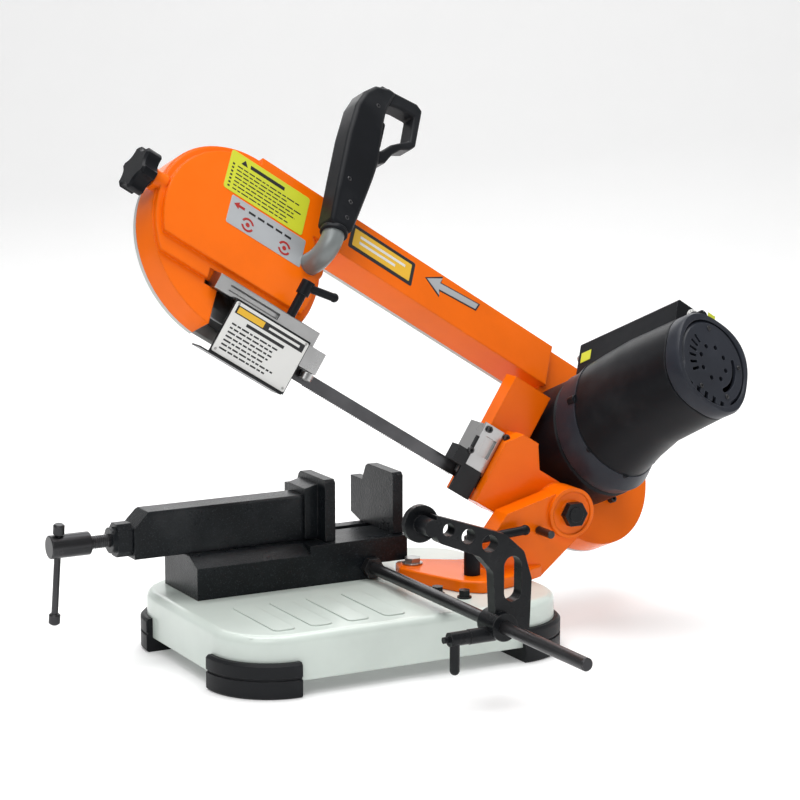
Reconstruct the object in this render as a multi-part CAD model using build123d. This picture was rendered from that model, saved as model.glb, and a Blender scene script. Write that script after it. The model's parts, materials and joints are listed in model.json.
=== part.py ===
from build123d import *
import math
import os

# Portable metal-cutting band saw. Millimetres, +Z up, ground at z = 0.
# X runs along the vise screw (the hinge of the bow is on +X), the operator stands at -Y.
# The origin is the centre of the four bench bolt holes, on the ground.

# ---------------------------------------------------------------- driving dimensions
FIT = 0.3                # running clearance between parts of different bodies
# base
BASE_L, BASE_W = 356.0, 260.0
BASE_R = 58.0
BASE_Z0, BASE_TOP = 14.0, 57.0
BASE_WALL = 2.0
BASE_EDGE_R = 8.0
FOOT_REACH, FOOT_TOP, FOOT_LIP = 62.0, 33.0, 6.5
BOLT_X, BOLT_Y = 268.0, 176.0
BOLT_HOLE_D = 9.0
# vise
JAW_X = 65.0             # clamping face of the fixed jaw
BED_X0, BED_X1 = -150.0, 77.0
BED_Y0, BED_Y1 = 25.0, 104.0
BED_TOP = 97.0
SLOT_Y0, SLOT_Y1 = 78.0, 90.0
UNDERCUT_X, UNDERCUT_Z = 44.0, 72.0
JAW_H = 62.0
JAW_T = 11.0
JAW_OPEN = 64.0          # opening as drawn
JAW_OPEN_MAX = 125.0
SLIDE_LEN, SLIDE_Y0, SLIDE_W, SLIDE_H = 178.0, 53.0, 30.0, 45.0
SCREW_D, SCREW_Z = 12.0, 115.5
HUB_D, HUB_LEN = 22.5, 40.0
TOMMY_D, TOMMY_LEN, TOMMY_DROP, TOMMY_TILT = 6.5, 92.0, 28.8, 11.0
# work stop
ROD_X, ROD_Z, ROD_D, ROD_LEN = 36.0, 69.0, 12.0, 419.0
STOP_Y = -220.0
# swivel
MITRE_X, MITRE_Y = 78.0, 16.0
ARM_T = 11.5
ARM_GAP = 0.5
PIVOT_X, PIVOT_Z = 222.5, 117.8
BOSS_R, BOSS_Y0, BOSS_Y1 = 25.5, -50.0, -22.0
SHAFT_D = 16.0
# bow
RAISE = 32.2             # bow angle above horizontal, as drawn
TILT = 30.0              # wheel plane leans this far from the cutting plane
BLADE_Y = 7.0            # cutting plane
BLADE_W, BLADE_T = 12.7, 0.65
TEETH_DROP = 23.0        # teeth below the hinge axis, bow horizontal
WHEEL_D = 165.0
BLADE_LEN = 1435.0
WHEEL_X = 43.0           # drive wheel axis right of the hinge
DEFLECT = 3.5            # guides press the strand this far below the wheels' tangent
PLANE_OFFSET = -4.0      # wheel mid-plane, measured forwards from the strand's centre line
HOUSING_R = WHEEL_D / 2 + 15.5       # room for the idler to be adjusted
DRIVE_HOUSING_R = WHEEL_D / 2 + 7.5
CAST_FRONT, CAST_LOW, CAST_BACK = 25.0, 17.0, -9.0
COVER_T = 4.0
WALL = 4.0
BEAM_H = 48.0
WHEEL_BACK, WHEEL_FRONT = -6.8, 7.5
AXLE_D = 15.0
TENSION_TRAVEL = 4.0
MOTOR_U, MOTOR_V, MOTOR_R = 14.0, 27.0, 44.0
GEARBOX_R, GEARBOX_END = 46.0 + 0.11 * WHEEL_D, 58.0
MOTOR_END = 222.0
HANDLE_IN, HANDLE_V = 19.7, 18.0         # the handle's socket, inside the idler housing's edge
TUBE_D = 22.0
GUIDE_L_X, GUIDE_R_X = -301.0, -114.0    # inner ends of the two blade guides
GUIDE_TRAVEL = 60.0

# ---------------------------------------------------------------- details and derived sizes
BED_BOLT_SPOTS = ((-128, 36), (-128, 97), (20, 36), (20, 97))
BED_BOLT_D = 8.0
JAW_BOLT_X, JAW_BOLT_Y, JAW_BOLT_D = JAW_X + 7, 96.0, 6.0
ROD_SEAT = 24.0          # depth of the stop rod's seat in the bed
JAW_STEP_Z = BED_TOP + JAW_H - 18            # top of the jaws' lower back part
JAW_GAP = 0.5            # left between the jaws when the vise is shut
SLIDE_MID_Y = SLIDE_Y0 + SLIDE_W / 2
SLIDE_X1 = JAW_X - JAW_OPEN - JAW_T - 14     # end of the sliding body at the jaw bracket
SLIDE_X0 = SLIDE_X1 - SLIDE_LEN
SLIDE_END = 10.0         # thickness of the slide's end walls
COLLAR_LEN = 5.0         # spindle collar inside the slide
NUT_HALF = 11.0
NUT_X = SLIDE_X0 + SLIDE_END + 1.3 + COLLAR_LEN + JAW_OPEN - JAW_GAP + 1 + NUT_HALF
SPINDLE_BORE = SCREW_D + 2
HUB_X1 = SLIDE_X0 - 40 - FIT
HUB_X0 = HUB_X1 - HUB_LEN
TOMMY_X = HUB_X0 + 9.0
STOP_LEVER_X = ROD_X - 42
ARM_Z0 = BASE_TOP + ARM_GAP
ARM_Z1 = ARM_Z0 + ARM_T
MITRE_BOLT_D = 12.0
MITRE_LIMIT = 45.0
LOCK_X, LOCK_Y, LOCK_D = MITRE_X + 30.0, MITRE_Y - 66.0, 8.0
STOP_SPOTS = ((MITRE_X - 14, MITRE_Y - 76), (MITRE_X + 2, MITRE_Y - 100))
STOP_BOLT_D = 6.0
PIN_X, PIN_Z, PIN_D = PIVOT_X - 36.0, PIVOT_Z - 14.0, 8.0
KNUCKLE_Y0, KNUCKLE_Y1 = BOSS_Y1 + 0.5, 0.0
SPRING_POCKET_D = 34.0
SPRING_POCKET = 14.0     # depth of the return spring's counterbore in the boss
SPRING_R, SPRING_WIRE, SPRING_PITCH = 12.6, 2.4, 3.0
COLUMN_X0, COLUMN_X1 = -92.0, -44.0
COLUMN_U1 = -42.0
COLUMN_BACK = 34.0
TENSION_V, TENSION_W, TENSION_D, TENSION_SCREW_D = 14.0, 13.1, 8.0, 5.0
STAR_R = 23.0
CARRIER_W0, CARRIER_W1 = 10.4, CAST_LOW - 1.6
BAR_X0, BAR_X1 = -437.0, -318.0
BAR_Z0, BAR_Z1 = 12.0, 27.0
BAR_Y0, BAR_Y1 = BLADE_Y - 10.0, BLADE_Y + 8.0
BEARING_OD = 28.0
TWIST = math.radians(90 - TILT)
TWIST_STEPS = 10
ROLLER_D, ROLLER_PIN_D = 13.0, 5.0
GUIDE_LEN, GUIDE_HALF = 40.0, 13.0
GUIDE_R_TOP = 36.0
PLATE_X0, PLATE_X1 = -414.0, -333.0
LEVER_X = -352.0
GRIP_W = 55.0
GRIP_V0, GRIP_V1 = 44.0, 219.0
TUBE_REACH = 18.0        # the handle tube ends this far below the middle of the trigger
BEND_R = 24.0
TRIGGER_V = 172.0
TRIGGER_TRAVEL = 4.0
DRIVE_SEAT_R = 21.0
GEARBOX_U, GEARBOX_V = 26.0, 8.0
PLATE_W1 = CAST_LOW + 5
LAY_D = 6.0
LAY_W0, LAY_W1 = CAST_LOW + 21, CAST_LOW + 29        # first pair of gears
FINAL_W0, FINAL_W1 = CAST_LOW + 8, CAST_LOW + 18     # second pair of gears
FIRST_TEETH, PINION_TEETH = 64, 8
FINAL_TEETH, SMALL_TEETH = 54, 9
FIRST_GAP, FINAL_GAP = 24.0, 30.0                    # distances between the gears' axes
FIRST_MODULE = 2 * FIRST_GAP / (FIRST_TEETH + PINION_TEETH)
FINAL_MODULE = 2 * FINAL_GAP / (FINAL_TEETH + SMALL_TEETH)
MOTOR_SHAFT_D, MOTOR_BEARING_D, STATOR_BORE = 8.0, 22.0, 46.0
MOTOR_SPLIT = MOTOR_END - 16.0
BOX_V, BOX_W0, BOX_W1 = MOTOR_V + 34.0, GEARBOX_END + 4, MOTOR_SPLIT - 6
DIAL_U, DIAL_V, DIAL_W = MOTOR_U - 12, MOTOR_V + MOTOR_R + 9, BOX_W1

# layshaft position, from the two axis distances
MOTOR_REACH = math.hypot(WHEEL_X - MOTOR_U, MOTOR_V)
LAY_ALONG = (FIRST_GAP ** 2 - FINAL_GAP ** 2 + MOTOR_REACH ** 2) / (2 * MOTOR_REACH)
LAY_ASIDE = math.sqrt(FIRST_GAP ** 2 - LAY_ALONG ** 2)
LAY_DIR = ((WHEEL_X - MOTOR_U) / MOTOR_REACH, -MOTOR_V / MOTOR_REACH)
LAY_U = MOTOR_U + LAY_ALONG * LAY_DIR[0] - LAY_ASIDE * LAY_DIR[1]
LAY_V = MOTOR_V + LAY_ALONG * LAY_DIR[1] + LAY_ASIDE * LAY_DIR[0]
LAY_ANGLE = math.degrees(math.atan2(-LAY_V, WHEEL_X - LAY_U))
FIRST_ANGLE = math.degrees(math.atan2(MOTOR_V - LAY_V, MOTOR_U - LAY_U))

WHEEL_R = WHEEL_D / 2
CENTRES = (BLADE_LEN - math.pi * WHEEL_D) / 2
IDLER_X = WHEEL_X - CENTRES
COS_T, SIN_T = math.cos(math.radians(TILT)), math.sin(math.radians(TILT))
STRAND_Z = -TEETH_DROP + BLADE_W / 2
GUIDE_Z = STRAND_Z + 2.0         # the side bearings bear on the upper part of the blade
LEFT_U = IDLER_X - TENSION_TRAVEL
GRIP_U = LEFT_U + HOUSING_R - HANDLE_IN
GRIP_SCREWS = ((GRIP_U - 10, GRIP_V1 - 24), (GRIP_U + 53, GRIP_V1 - 8))
BEAM_V0 = HOUSING_R - BEAM_H
AXIS_Y = BLADE_Y + (WHEEL_R + DEFLECT) * SIN_T - PLANE_OFFSET * COS_T
AXIS_Z = STRAND_Z + (WHEEL_R + DEFLECT) * COS_T + PLANE_OFFSET * SIN_T

# Bow parts are drawn with the bow horizontal, relative to the hinge axis (x, y, z),
# or in the wheel plane (u along the blade, v away from the blade, w along the wheel axles).
BOW = Pos(PIVOT_X, 0, PIVOT_Z) * Rot(0, RAISE, 0)
WHEELS = BOW * Pos(0, AXIS_Y, AXIS_Z) * Rot(90 - TILT, 0, 0)
TOMMY = Pos(TOMMY_X, SLIDE_MID_Y, SCREW_Z) * Rot(TOMMY_TILT, 0, 0)


# ---------------------------------------------------------------- helpers
def block(x0, x1, y0, y1, z0, z1):
    """Axis-aligned box from its limits."""
    return Pos((x0 + x1) / 2, (y0 + y1) / 2, (z0 + z1) / 2) * Box(x1 - x0, y1 - y0, z1 - z0)


def rod_z(x, y, z0, z1, d):
    """Cylinder along Z."""
    return Pos(x, y, (z0 + z1) / 2) * Cylinder(d / 2, z1 - z0)


def rod_y(x, z, y0, y1, d):
    """Cylinder along Y."""
    return Pos(x, (y0 + y1) / 2, z) * Rot(90, 0, 0) * Cylinder(d / 2, y1 - y0)


def rod_x(y, z, x0, x1, d):
    """Cylinder along X."""
    return Pos((x0 + x1) / 2, y, z) * Rot(0, 90, 0) * Cylinder(d / 2, x1 - x0)


def hex_z(x, y, z0, z1, across):
    """Hexagonal prism along Z, given the size across its flats."""
    outline = Pos(x, y, z0) * RegularPolygon(across / math.sqrt(3), 6)
    return extrude(outline, z1 - z0, dir=(0, 0, 1))


def prism_xz(points, y0, y1):
    """Outline in the XZ plane, extruded along Y."""
    wire = Polyline(*[(x, y0, z) for x, z in points], close=True)
    return extrude(make_face(wire), y1 - y0, dir=(0, 1, 0))


def prism_xy(points, z0, z1):
    """Outline in the XY plane, extruded along Z."""
    wire = Polyline(*[(x, y, z0) for x, y in points], close=True)
    return extrude(make_face(wire), z1 - z0, dir=(0, 0, 1))


def prism_yz(points, x0, x1):
    """Outline in the YZ plane, extruded along X."""
    wire = Polyline(*[(x0, y, z) for y, z in points], close=True)
    return extrude(make_face(wire), x1 - x0, dir=(1, 0, 0))


def slab(outline, z0, z1):
    """Planar sketch on XY, extruded between two heights."""
    return Pos(0, 0, z0) * extrude(outline, z1 - z0, dir=(0, 0, 1))


def edges_along(shape, axis):
    return shape.edges().filter_by(axis)


def save(name, *solids):
    """Write one node, with one solid for each piece given."""
    pieces = []
    for item in solids:
        pieces.extend(item.solids())
    shape = pieces[0] if len(pieces) == 1 else Compound(children=pieces)
    export_step(shape, f"parts/{name}.step")


# ---------------------------------------------------------------- base and vise
def base_tray():
    outer = slab(RectangleRounded(BASE_L, BASE_W, BASE_R), BASE_Z0, BASE_TOP)
    outer = fillet(outer.faces().sort_by(Axis.Z)[-1].edges(), BASE_EDGE_R)
    wall = 2 * BASE_WALL
    inner_outline = RectangleRounded(BASE_L - wall, BASE_W - wall, BASE_R - BASE_WALL)
    inner = slab(inner_outline, BASE_Z0 - 1, BASE_TOP - BASE_WALL)
    inner = fillet(inner.faces().sort_by(Axis.Z)[-1].edges(), BASE_EDGE_R - BASE_WALL)
    tray = outer - inner
    for x in (-1, 1):
        for y in (-1, 1):
            pad = block(x * BOLT_X / 2 - 26, x * BOLT_X / 2 + 26, y * BOLT_Y / 2 - 26,
                        y * BOLT_Y / 2 + 26, BASE_Z0, BASE_Z0 + 3)
            web = block(x * BOLT_X / 2 - 26, x * BOLT_X / 2 + 26, y * BOLT_Y / 2 + y * 24 - 1.5,
                        y * BOLT_Y / 2 + y * 24 + 1.5, BASE_Z0, BASE_TOP - BASE_WALL)
            tray += (pad + web) & slab(inner_outline, BASE_Z0, BASE_TOP - 1)
            tray -= rod_z(x * BOLT_X / 2, y * BOLT_Y / 2, BASE_Z0 - 1, BASE_Z0 + 4, BOLT_HOLE_D)
    for i in range(4):
        rib = Pos(-122 + 38 * i, -62) * RectangleRounded(22, 96, 6)
        tray += slab(rib, BASE_TOP - 1, BASE_TOP + 1.2)
    return tray - base_holes()


def base_holes():
    """Holes of the bed screws, the swivel's pivot and stops, and the lock stud's curved slot."""
    z0, z1 = BASE_TOP - BASE_WALL - 1, BASE_TOP + 2
    holes = rod_z(MITRE_X, MITRE_Y, z0, z1, MITRE_BOLT_D)
    for x, y in BED_BOLT_SPOTS:
        holes += rod_z(x, y, z0, z1, BED_BOLT_D)
    for x, y in STOP_SPOTS:
        holes += rod_z(x, y, z0, z1, STOP_BOLT_D)
    reach = math.hypot(LOCK_X - MITRE_X, LOCK_Y - MITRE_Y)
    start = math.degrees(math.atan2(LOCK_Y - MITRE_Y, LOCK_X - MITRE_X))
    arc = SlotArc(CenterArc((0, 0), reach, start - 1, MITRE_LIMIT + 2), LOCK_D + 1)
    return holes + slab(Pos(MITRE_X, MITRE_Y) * arc, z0, z1)


def rubber_feet():
    outline = RectangleRounded(BASE_L + 2 * FOOT_LIP, BASE_W + 2 * FOOT_LIP, BASE_R + FOOT_LIP)
    band = slab(outline, 0, FOOT_TOP)
    band = chamfer(band.faces().sort_by(Axis.Z)[-1].edges(), 2.5)
    band = chamfer(band.faces().sort_by(Axis.Z)[0].edges(), 2)
    groove_out = RectangleRounded(BASE_L + 40, BASE_W + 40, BASE_R + 20)
    groove_in = RectangleRounded(BASE_L + 2 * FOOT_LIP - 3, BASE_W + 2 * FOOT_LIP - 3,
                                 BASE_R + FOOT_LIP - 1.5)
    band -= slab(groove_out - groove_in, 17, 19.5)
    band -= slab(RectangleRounded(BASE_L, BASE_W, BASE_R), BASE_Z0, FOOT_TOP + 1)
    inner = Rectangle(BASE_L - 120, BASE_W + 40) + Rectangle(BASE_L + 40, BASE_W - 120)
    band -= slab(inner, -1, FOOT_TOP + 1)
    feet = []
    for x in (-1, 1):
        for y in (-1, 1):
            corner = block(min(0, x * 300), max(0, x * 300), min(0, y * 300), max(0, y * 300),
                           -1, 60)
            foot = band & corner
            foot -= rod_z(x * BOLT_X / 2, y * BOLT_Y / 2, -1, BASE_Z0 + 1, BOLT_HOLE_D)
            feet.append(foot)
    return feet


def vise_bed():
    profile = [(BED_Y0, BASE_TOP), (BED_Y0, BED_TOP - 9), (BED_Y0 + 18, BED_TOP),
               (BED_Y1, BED_TOP), (BED_Y1, BASE_TOP)]
    bed = prism_yz(profile, BED_X0, JAW_X - 95)
    bed += block(JAW_X - 95, BED_X1, BED_Y0, BED_Y1, BASE_TOP, BED_TOP)
    bed -= block(BED_X0 + 12, BED_X1 - 8, SLOT_Y0, SLOT_Y1, BASE_TOP + 10, BED_TOP + 1)
    bed -= block(BED_X0 + 12, JAW_X, SLOT_Y0 - 12, SLOT_Y1 + 6, BASE_TOP + 10, BED_TOP - 14)
    bed -= block(UNDERCUT_X, BED_X1 + 1, BED_Y0 - 1, BED_Y1 + 1, BASE_TOP - 1, UNDERCUT_Z)
    bed -= block(BED_X0 + 10, UNDERCUT_X - 10, BED_Y0 + 8, BED_Y1 - 8, BASE_TOP - 1, BASE_TOP + 5)
    bed -= rod_y(ROD_X, ROD_Z, BED_Y0 - 1, BED_Y0 + ROD_SEAT, ROD_D)
    for x, y in BED_BOLT_SPOTS:
        bed -= rod_z(x, y, BASE_TOP - 1, BASE_TOP + 12, BED_BOLT_D)
    bed -= rod_z(JAW_BOLT_X, JAW_BOLT_Y, BED_TOP - 20, BED_TOP + 1, JAW_BOLT_D)
    bed -= block(NUT_X - NUT_HALF, NUT_X + NUT_HALF, SLIDE_MID_Y - 8, SLIDE_MID_Y + 8,
                 BED_TOP - 8, BED_TOP + 1)
    return bed


def base_bolts():
    """Screws that hold the bed on the base, from below."""
    bolts = []
    for x, y in BED_BOLT_SPOTS:
        shank = rod_z(x, y, BASE_TOP - BASE_WALL, BASE_TOP + 12, BED_BOLT_D)
        bolts.append(shank + hex_z(x, y, BASE_TOP - BASE_WALL - 5.3, BASE_TOP - BASE_WALL, 13))
    return bolts


def jaw_plate(face_x, side):
    """Upright plate with a high front part and a lower back part; side is +1 behind the face."""
    y0, y_step, y1 = 32.5, 90.0, 124.0
    outline = [(y0, BED_TOP + FIT), (y0, BED_TOP + JAW_H), (y_step, BED_TOP + JAW_H),
               (y_step + 9, JAW_STEP_Z), (y1, JAW_STEP_Z),
               (y1, BED_TOP + 6), (BED_Y1, BED_TOP + FIT)]
    x0, x1 = sorted((face_x, face_x + side * JAW_T))
    plate = prism_yz(outline, x0, x1)
    return chamfer(plate.edges().filter_by(Axis.X).group_by(Axis.Z)[-1], 3)


def fixed_jaw():
    jaw = jaw_plate(JAW_X, 1)
    foot_z = BED_TOP + FIT
    jaw -= block(JAW_X - 1, JAW_X + JAW_T + 1, BED_Y0, BED_Y1, BED_TOP - 1, foot_z)
    jaw += block(JAW_X, BED_X1, 34, 74, BED_TOP, BED_TOP + 8)
    jaw += block(JAW_X, BED_X1, 91, BED_Y1, BED_TOP, BED_TOP + 8)
    jaw -= rod_z(JAW_BOLT_X, JAW_BOLT_Y, BED_TOP - 1, BED_TOP + JAW_H, JAW_BOLT_D)
    jaw -= rod_z(JAW_BOLT_X, JAW_BOLT_Y, JAW_STEP_Z, BED_TOP + JAW_H, 12.4)
    return jaw


def jaw_bolt():
    bolt = rod_z(JAW_BOLT_X, JAW_BOLT_Y, BED_TOP - 20, JAW_STEP_Z, JAW_BOLT_D)
    return bolt + hex_z(JAW_BOLT_X, JAW_BOLT_Y, JAW_STEP_Z, JAW_STEP_Z + 4.3, 10)


def moving_jaw():
    jaw = jaw_plate(JAW_X - JAW_OPEN, -1)
    x1 = JAW_X - JAW_OPEN - JAW_T
    gusset = prism_xz([(x1 + 1, BED_TOP + 1), (x1 + 1, BED_TOP + 56), (x1 - 14, BED_TOP + 52),
                       (x1 - 14, BED_TOP + 1)], SLIDE_Y0 - 4, SLIDE_Y0 + SLIDE_W + 4)
    return jaw + gusset


def vise_slide():
    y0, y1 = SLIDE_Y0, SLIDE_Y0 + SLIDE_W
    z0, z1 = BED_TOP + FIT, BED_TOP + SLIDE_H
    body = block(SLIDE_X0, SLIDE_X1, y0, y1, z0, z1)
    body -= prism_xz([(SLIDE_X0 - 1, z1 - 16), (SLIDE_X0 - 1, z1 + 1), (SLIDE_X0 + 16, z1 + 1)],
                     y0 - 1, y1 + 1)
    body = chamfer(edges_along(body, Axis.X).group_by(Axis.Z)[-1], 2)
    half = SPINDLE_BORE / 2 + 2
    body -= block(SLIDE_X0 + SLIDE_END, SLIDE_X1 - SLIDE_END, SLIDE_MID_Y - half, SLIDE_MID_Y + half,
                  z0 - 1, SCREW_Z + half + 2)
    body -= rod_x(SLIDE_MID_Y, SCREW_Z, SLIDE_X0 - 1, SLIDE_X0 + SLIDE_END + 1, SPINDLE_BORE)
    return body


def thrust_collar():
    """Bearing block bolted to the slide's outer end; the spindle turns in it."""
    x0 = SLIDE_X0 - 15
    collar = block(x0, SLIDE_X0, SLIDE_MID_Y - 12, SLIDE_MID_Y + 12, SCREW_Z - 16, SCREW_Z + 16)
    collar = chamfer(edges_along(collar, Axis.X), 6)
    collar += rod_x(SLIDE_MID_Y, SCREW_Z, x0 - 5, x0, 25)
    return collar - rod_x(SLIDE_MID_Y, SCREW_Z, x0 - 6, SLIDE_X0 + 1, SCREW_D + 2 * FIT)


def vise_gib():
    """Shoe that runs in the bed's slot and keeps the slide from lifting."""
    x0, x1 = JAW_X - JAW_OPEN - JAW_T - 10, JAW_X - JAW_OPEN - 1
    y0, y1 = SLOT_Y0 + FIT, SLOT_Y1 - FIT
    gib = block(x0, x1, y0, y1, BED_TOP - 22, BED_TOP + FIT)
    return gib + block(x0, x1, y0 - 8, y1 + 4, BED_TOP - 22, BED_TOP - 14 - FIT)


def vise_spindle():
    screw = rod_x(SLIDE_MID_Y, SCREW_Z, HUB_X1, SLIDE_X1 - 14, SCREW_D)
    hub = rod_x(SLIDE_MID_Y, SCREW_Z, HUB_X0, HUB_X1, HUB_D)
    hub = chamfer(hub.edges().filter_by(GeomType.CIRCLE), 0.8)
    spindle = screw + hub
    collar_x = SLIDE_X0 + SLIDE_END + 1.3
    spindle += rod_x(SLIDE_MID_Y, SCREW_Z, collar_x, collar_x + COLLAR_LEN, SPINDLE_BORE + 3)
    bore = Cylinder(TOMMY_D / 2 + FIT, HUB_D + 4)
    return spindle - TOMMY * bore


def tommy_bar():
    return TOMMY * Pos(0, 0, -TOMMY_DROP) * Cylinder(TOMMY_D / 2, TOMMY_LEN)


def tommy_bar_knobs():
    knobs = []
    for end in (-1, 1):
        z = -TOMMY_DROP + end * TOMMY_LEN / 2
        knob = Pos(0, 0, z) * Cylinder(5.5, 11)
        knob = chamfer(knob.edges().filter_by(GeomType.CIRCLE), 1.5)
        knobs.append(TOMMY * (knob - Pos(0, 0, z) * Pos(0, 0, -end * 1.5) * Cylinder(TOMMY_D / 2, 8)))
    return knobs


def spindle_nut():
    nut = block(NUT_X - NUT_HALF, NUT_X + NUT_HALF, SLIDE_MID_Y - 8, SLIDE_MID_Y + 8,
                BED_TOP - 8, SCREW_Z + 9)
    return nut - rod_x(SLIDE_MID_Y, SCREW_Z, NUT_X - NUT_HALF - 1, NUT_X + NUT_HALF + 1, SCREW_D + 2 * FIT)


# ---------------------------------------------------------------- work stop
def stop_rod():
    rod = rod_y(ROD_X, ROD_Z, BED_Y0 + ROD_SEAT - ROD_LEN, BED_Y0 + ROD_SEAT, ROD_D)
    return chamfer(rod.edges().filter_by(GeomType.CIRCLE), 1)


def stop_rod_nut():
    nut = RegularPolygon(19 / math.sqrt(3), 6)
    body = Pos(ROD_X, BED_Y0 - 8, ROD_Z) * Rot(-90, 0, 0) * extrude(nut, 8)
    return body - rod_y(ROD_X, ROD_Z, BED_Y0 - 9, BED_Y0 + 1, ROD_D)


def stop_arm():
    """Curved arm with round windows, a contact disc facing the work and a split hub on the rod."""
    t = 13.0
    y1 = STOP_Y + t / 2
    outer = [(ROD_X + 30, ROD_Z - 6), (ROD_X + 32, ROD_Z + 40), (ROD_X + 24, ROD_Z + 66),
             (ROD_X + 4, ROD_Z + 84), (ROD_X - 66, ROD_Z + 108), (ROD_X - 66, ROD_Z + 84),
             (ROD_X - 22, ROD_Z + 66), (ROD_X - 8, ROD_Z + 50), (ROD_X - 6, ROD_Z + 10),
             (ROD_X + 4, ROD_Z - 14)]
    arm = prism_xz(outer, STOP_Y - t / 2, y1)
    arm = fillet(edges_along(arm, Axis.Y).filter_by_position(Axis.Z, ROD_Z + 30, ROD_Z + 95), 9)
    arm += rod_y(ROD_X, ROD_Z, STOP_Y - 14, STOP_Y + 14, 26)
    for x, z, r in ((-54, 94, 6), (-34, 86, 7), (-12, 77, 8)):
        arm -= rod_y(ROD_X + x, ROD_Z + z, STOP_Y - t, STOP_Y + t, 2 * r)
    window = Pos(ROD_X + 12, STOP_Y, ROD_Z + 42) * Rot(90, 0, 0) * SlotCenterToCenter(24, 18, rotation=90)
    arm -= extrude(window, t, both=True)
    arm += rod_y(ROD_X - 70, ROD_Z + 97, STOP_Y - t / 2, y1 + 8, 16)
    arm += rod_y(ROD_X - 70, ROD_Z + 97, y1 + 8, y1 + 14, 34)
    arm += rod_x(STOP_Y, ROD_Z - 8, ROD_X - 30, ROD_X - 4, 14)
    arm -= rod_y(ROD_X, ROD_Z, STOP_Y - 20, STOP_Y + 20, ROD_D + 2 * FIT)
    arm -= rod_x(STOP_Y, ROD_Z - 8, ROD_X - 31, ROD_X - 15, 6 + 2 * FIT)
    return arm


def stop_lock_lever():
    """Lever with its clamping stud; it turns about the stud, along X."""
    z = ROD_Z - 8
    lever = rod_x(STOP_Y, z, STOP_LEVER_X - 8, ROD_X - 30 - FIT, 13)
    lever += rod_x(STOP_Y, z, STOP_LEVER_X - 14, ROD_X - 17, 6)
    arm = Pos(STOP_LEVER_X - 2, STOP_Y, z - 16) * Cylinder(4.6, 26)
    arm += Pos(STOP_LEVER_X - 2, STOP_Y, z - 29) * Sphere(4.6)
    return lever + arm


# ---------------------------------------------------------------- swivel
ARM_OUTLINE = [(MITRE_X - 19, MITRE_Y - 8), (MITRE_X - 6, MITRE_Y - 48), (MITRE_X + 8, MITRE_Y - 82),
               (MITRE_X + 26, MITRE_Y - 97), (MITRE_X + 62, MITRE_Y - 88), (MITRE_X + 112, MITRE_Y - 64),
               (MITRE_X + 112, MITRE_Y - 12), (MITRE_X + 48, MITRE_Y - 4), (MITRE_X + 14, MITRE_Y + 18),
               (MITRE_X - 10, MITRE_Y + 18)]


def swivel_arm():
    arm = prism_xy(ARM_OUTLINE, ARM_Z0, ARM_Z1)
    arm = fillet(edges_along(arm, Axis.Z), 7)
    arm = chamfer(arm.faces().sort_by(Axis.Z)[-1].edges(), 1.5)
    web = prism_xz([(MITRE_X + 50, ARM_Z0), (MITRE_X + 112, ARM_Z0), (PIVOT_X + 20, PIVOT_Z - 18),
                    (PIVOT_X + 8, PIVOT_Z + 20), (PIVOT_X - 18, PIVOT_Z + 20),
                    (PIVOT_X - 72, PIVOT_Z + 6), (PIVOT_X - 88, PIVOT_Z - 14)],
                   BOSS_Y0 + 4, BOSS_Y1)
    arm += web
    arm += rod_y(PIVOT_X, PIVOT_Z, BOSS_Y0, BOSS_Y1, 2 * BOSS_R)
    arm -= rod_y(PIVOT_X, PIVOT_Z, BOSS_Y0 - 1, BOSS_Y0 + 1.5, 2 * BOSS_R - 8)
    arm += rod_y(PIVOT_X, PIVOT_Z, BOSS_Y0, BOSS_Y0 + 3, 26)
    arm -= rod_y(PIVOT_X, PIVOT_Z, BOSS_Y0 - 1, BOSS_Y1 + 1, SHAFT_D + 2 * FIT)
    arm -= rod_y(PIVOT_X, PIVOT_Z, BOSS_Y1 - SPRING_POCKET, BOSS_Y1 + 1, SPRING_POCKET_D)
    arm -= rod_z(MITRE_X, MITRE_Y, ARM_Z0 - 1, ARM_Z1 + 1, MITRE_BOLT_D + 2 * FIT)
    arm -= rod_z(LOCK_X, LOCK_Y, ARM_Z0 - 1, ARM_Z1 + 1, LOCK_D + 2 * FIT)
    arm -= rod_y(PIN_X, PIN_Z, BOSS_Y0 - 1, BOSS_Y1 - 6, PIN_D)
    return arm


def mitre_bolt():
    """Fixed vertical pivot of the swivel arm."""
    bolt = rod_z(MITRE_X, MITRE_Y, BASE_TOP - 12, ARM_Z1 + FIT, MITRE_BOLT_D)
    bolt += rod_z(MITRE_X, MITRE_Y, ARM_Z1 + FIT, ARM_Z1 + FIT + 1.5, 20)
    return bolt + hex_z(MITRE_X, MITRE_Y, ARM_Z1 + FIT + 1.5, ARM_Z1 + FIT + 6.5, 15)


def mitre_stops():
    """Two stop bolts on the base that end the swing of the arm."""
    stops = []
    for x, y in STOP_SPOTS:
        bolt = rod_z(x, y, BASE_TOP - 8, BASE_TOP + 3, STOP_BOLT_D)
        bolt += rod_z(x, y, BASE_TOP, BASE_TOP + 1.5, 14)
        stops.append(bolt + hex_z(x, y, BASE_TOP + 1.5, BASE_TOP + 8, 10))
    return stops


def pivot_shaft():
    """Shaft pressed into the bow's knuckle; it turns in the boss."""
    return rod_y(PIVOT_X, PIVOT_Z, BOSS_Y0 - 9, KNUCKLE_Y1 - 0.5, SHAFT_D)


def pivot_nut():
    nut = Pos(PIVOT_X, BOSS_Y0 - 8 - FIT, PIVOT_Z) * Rot(-90, 0, 0) * RegularPolygon(13.2, 6)
    nut = extrude(nut, 8, dir=(0, 1, 0))
    return nut - rod_y(PIVOT_X, PIVOT_Z, BOSS_Y0 - 10, BOSS_Y0 + 1, SHAFT_D)


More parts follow.
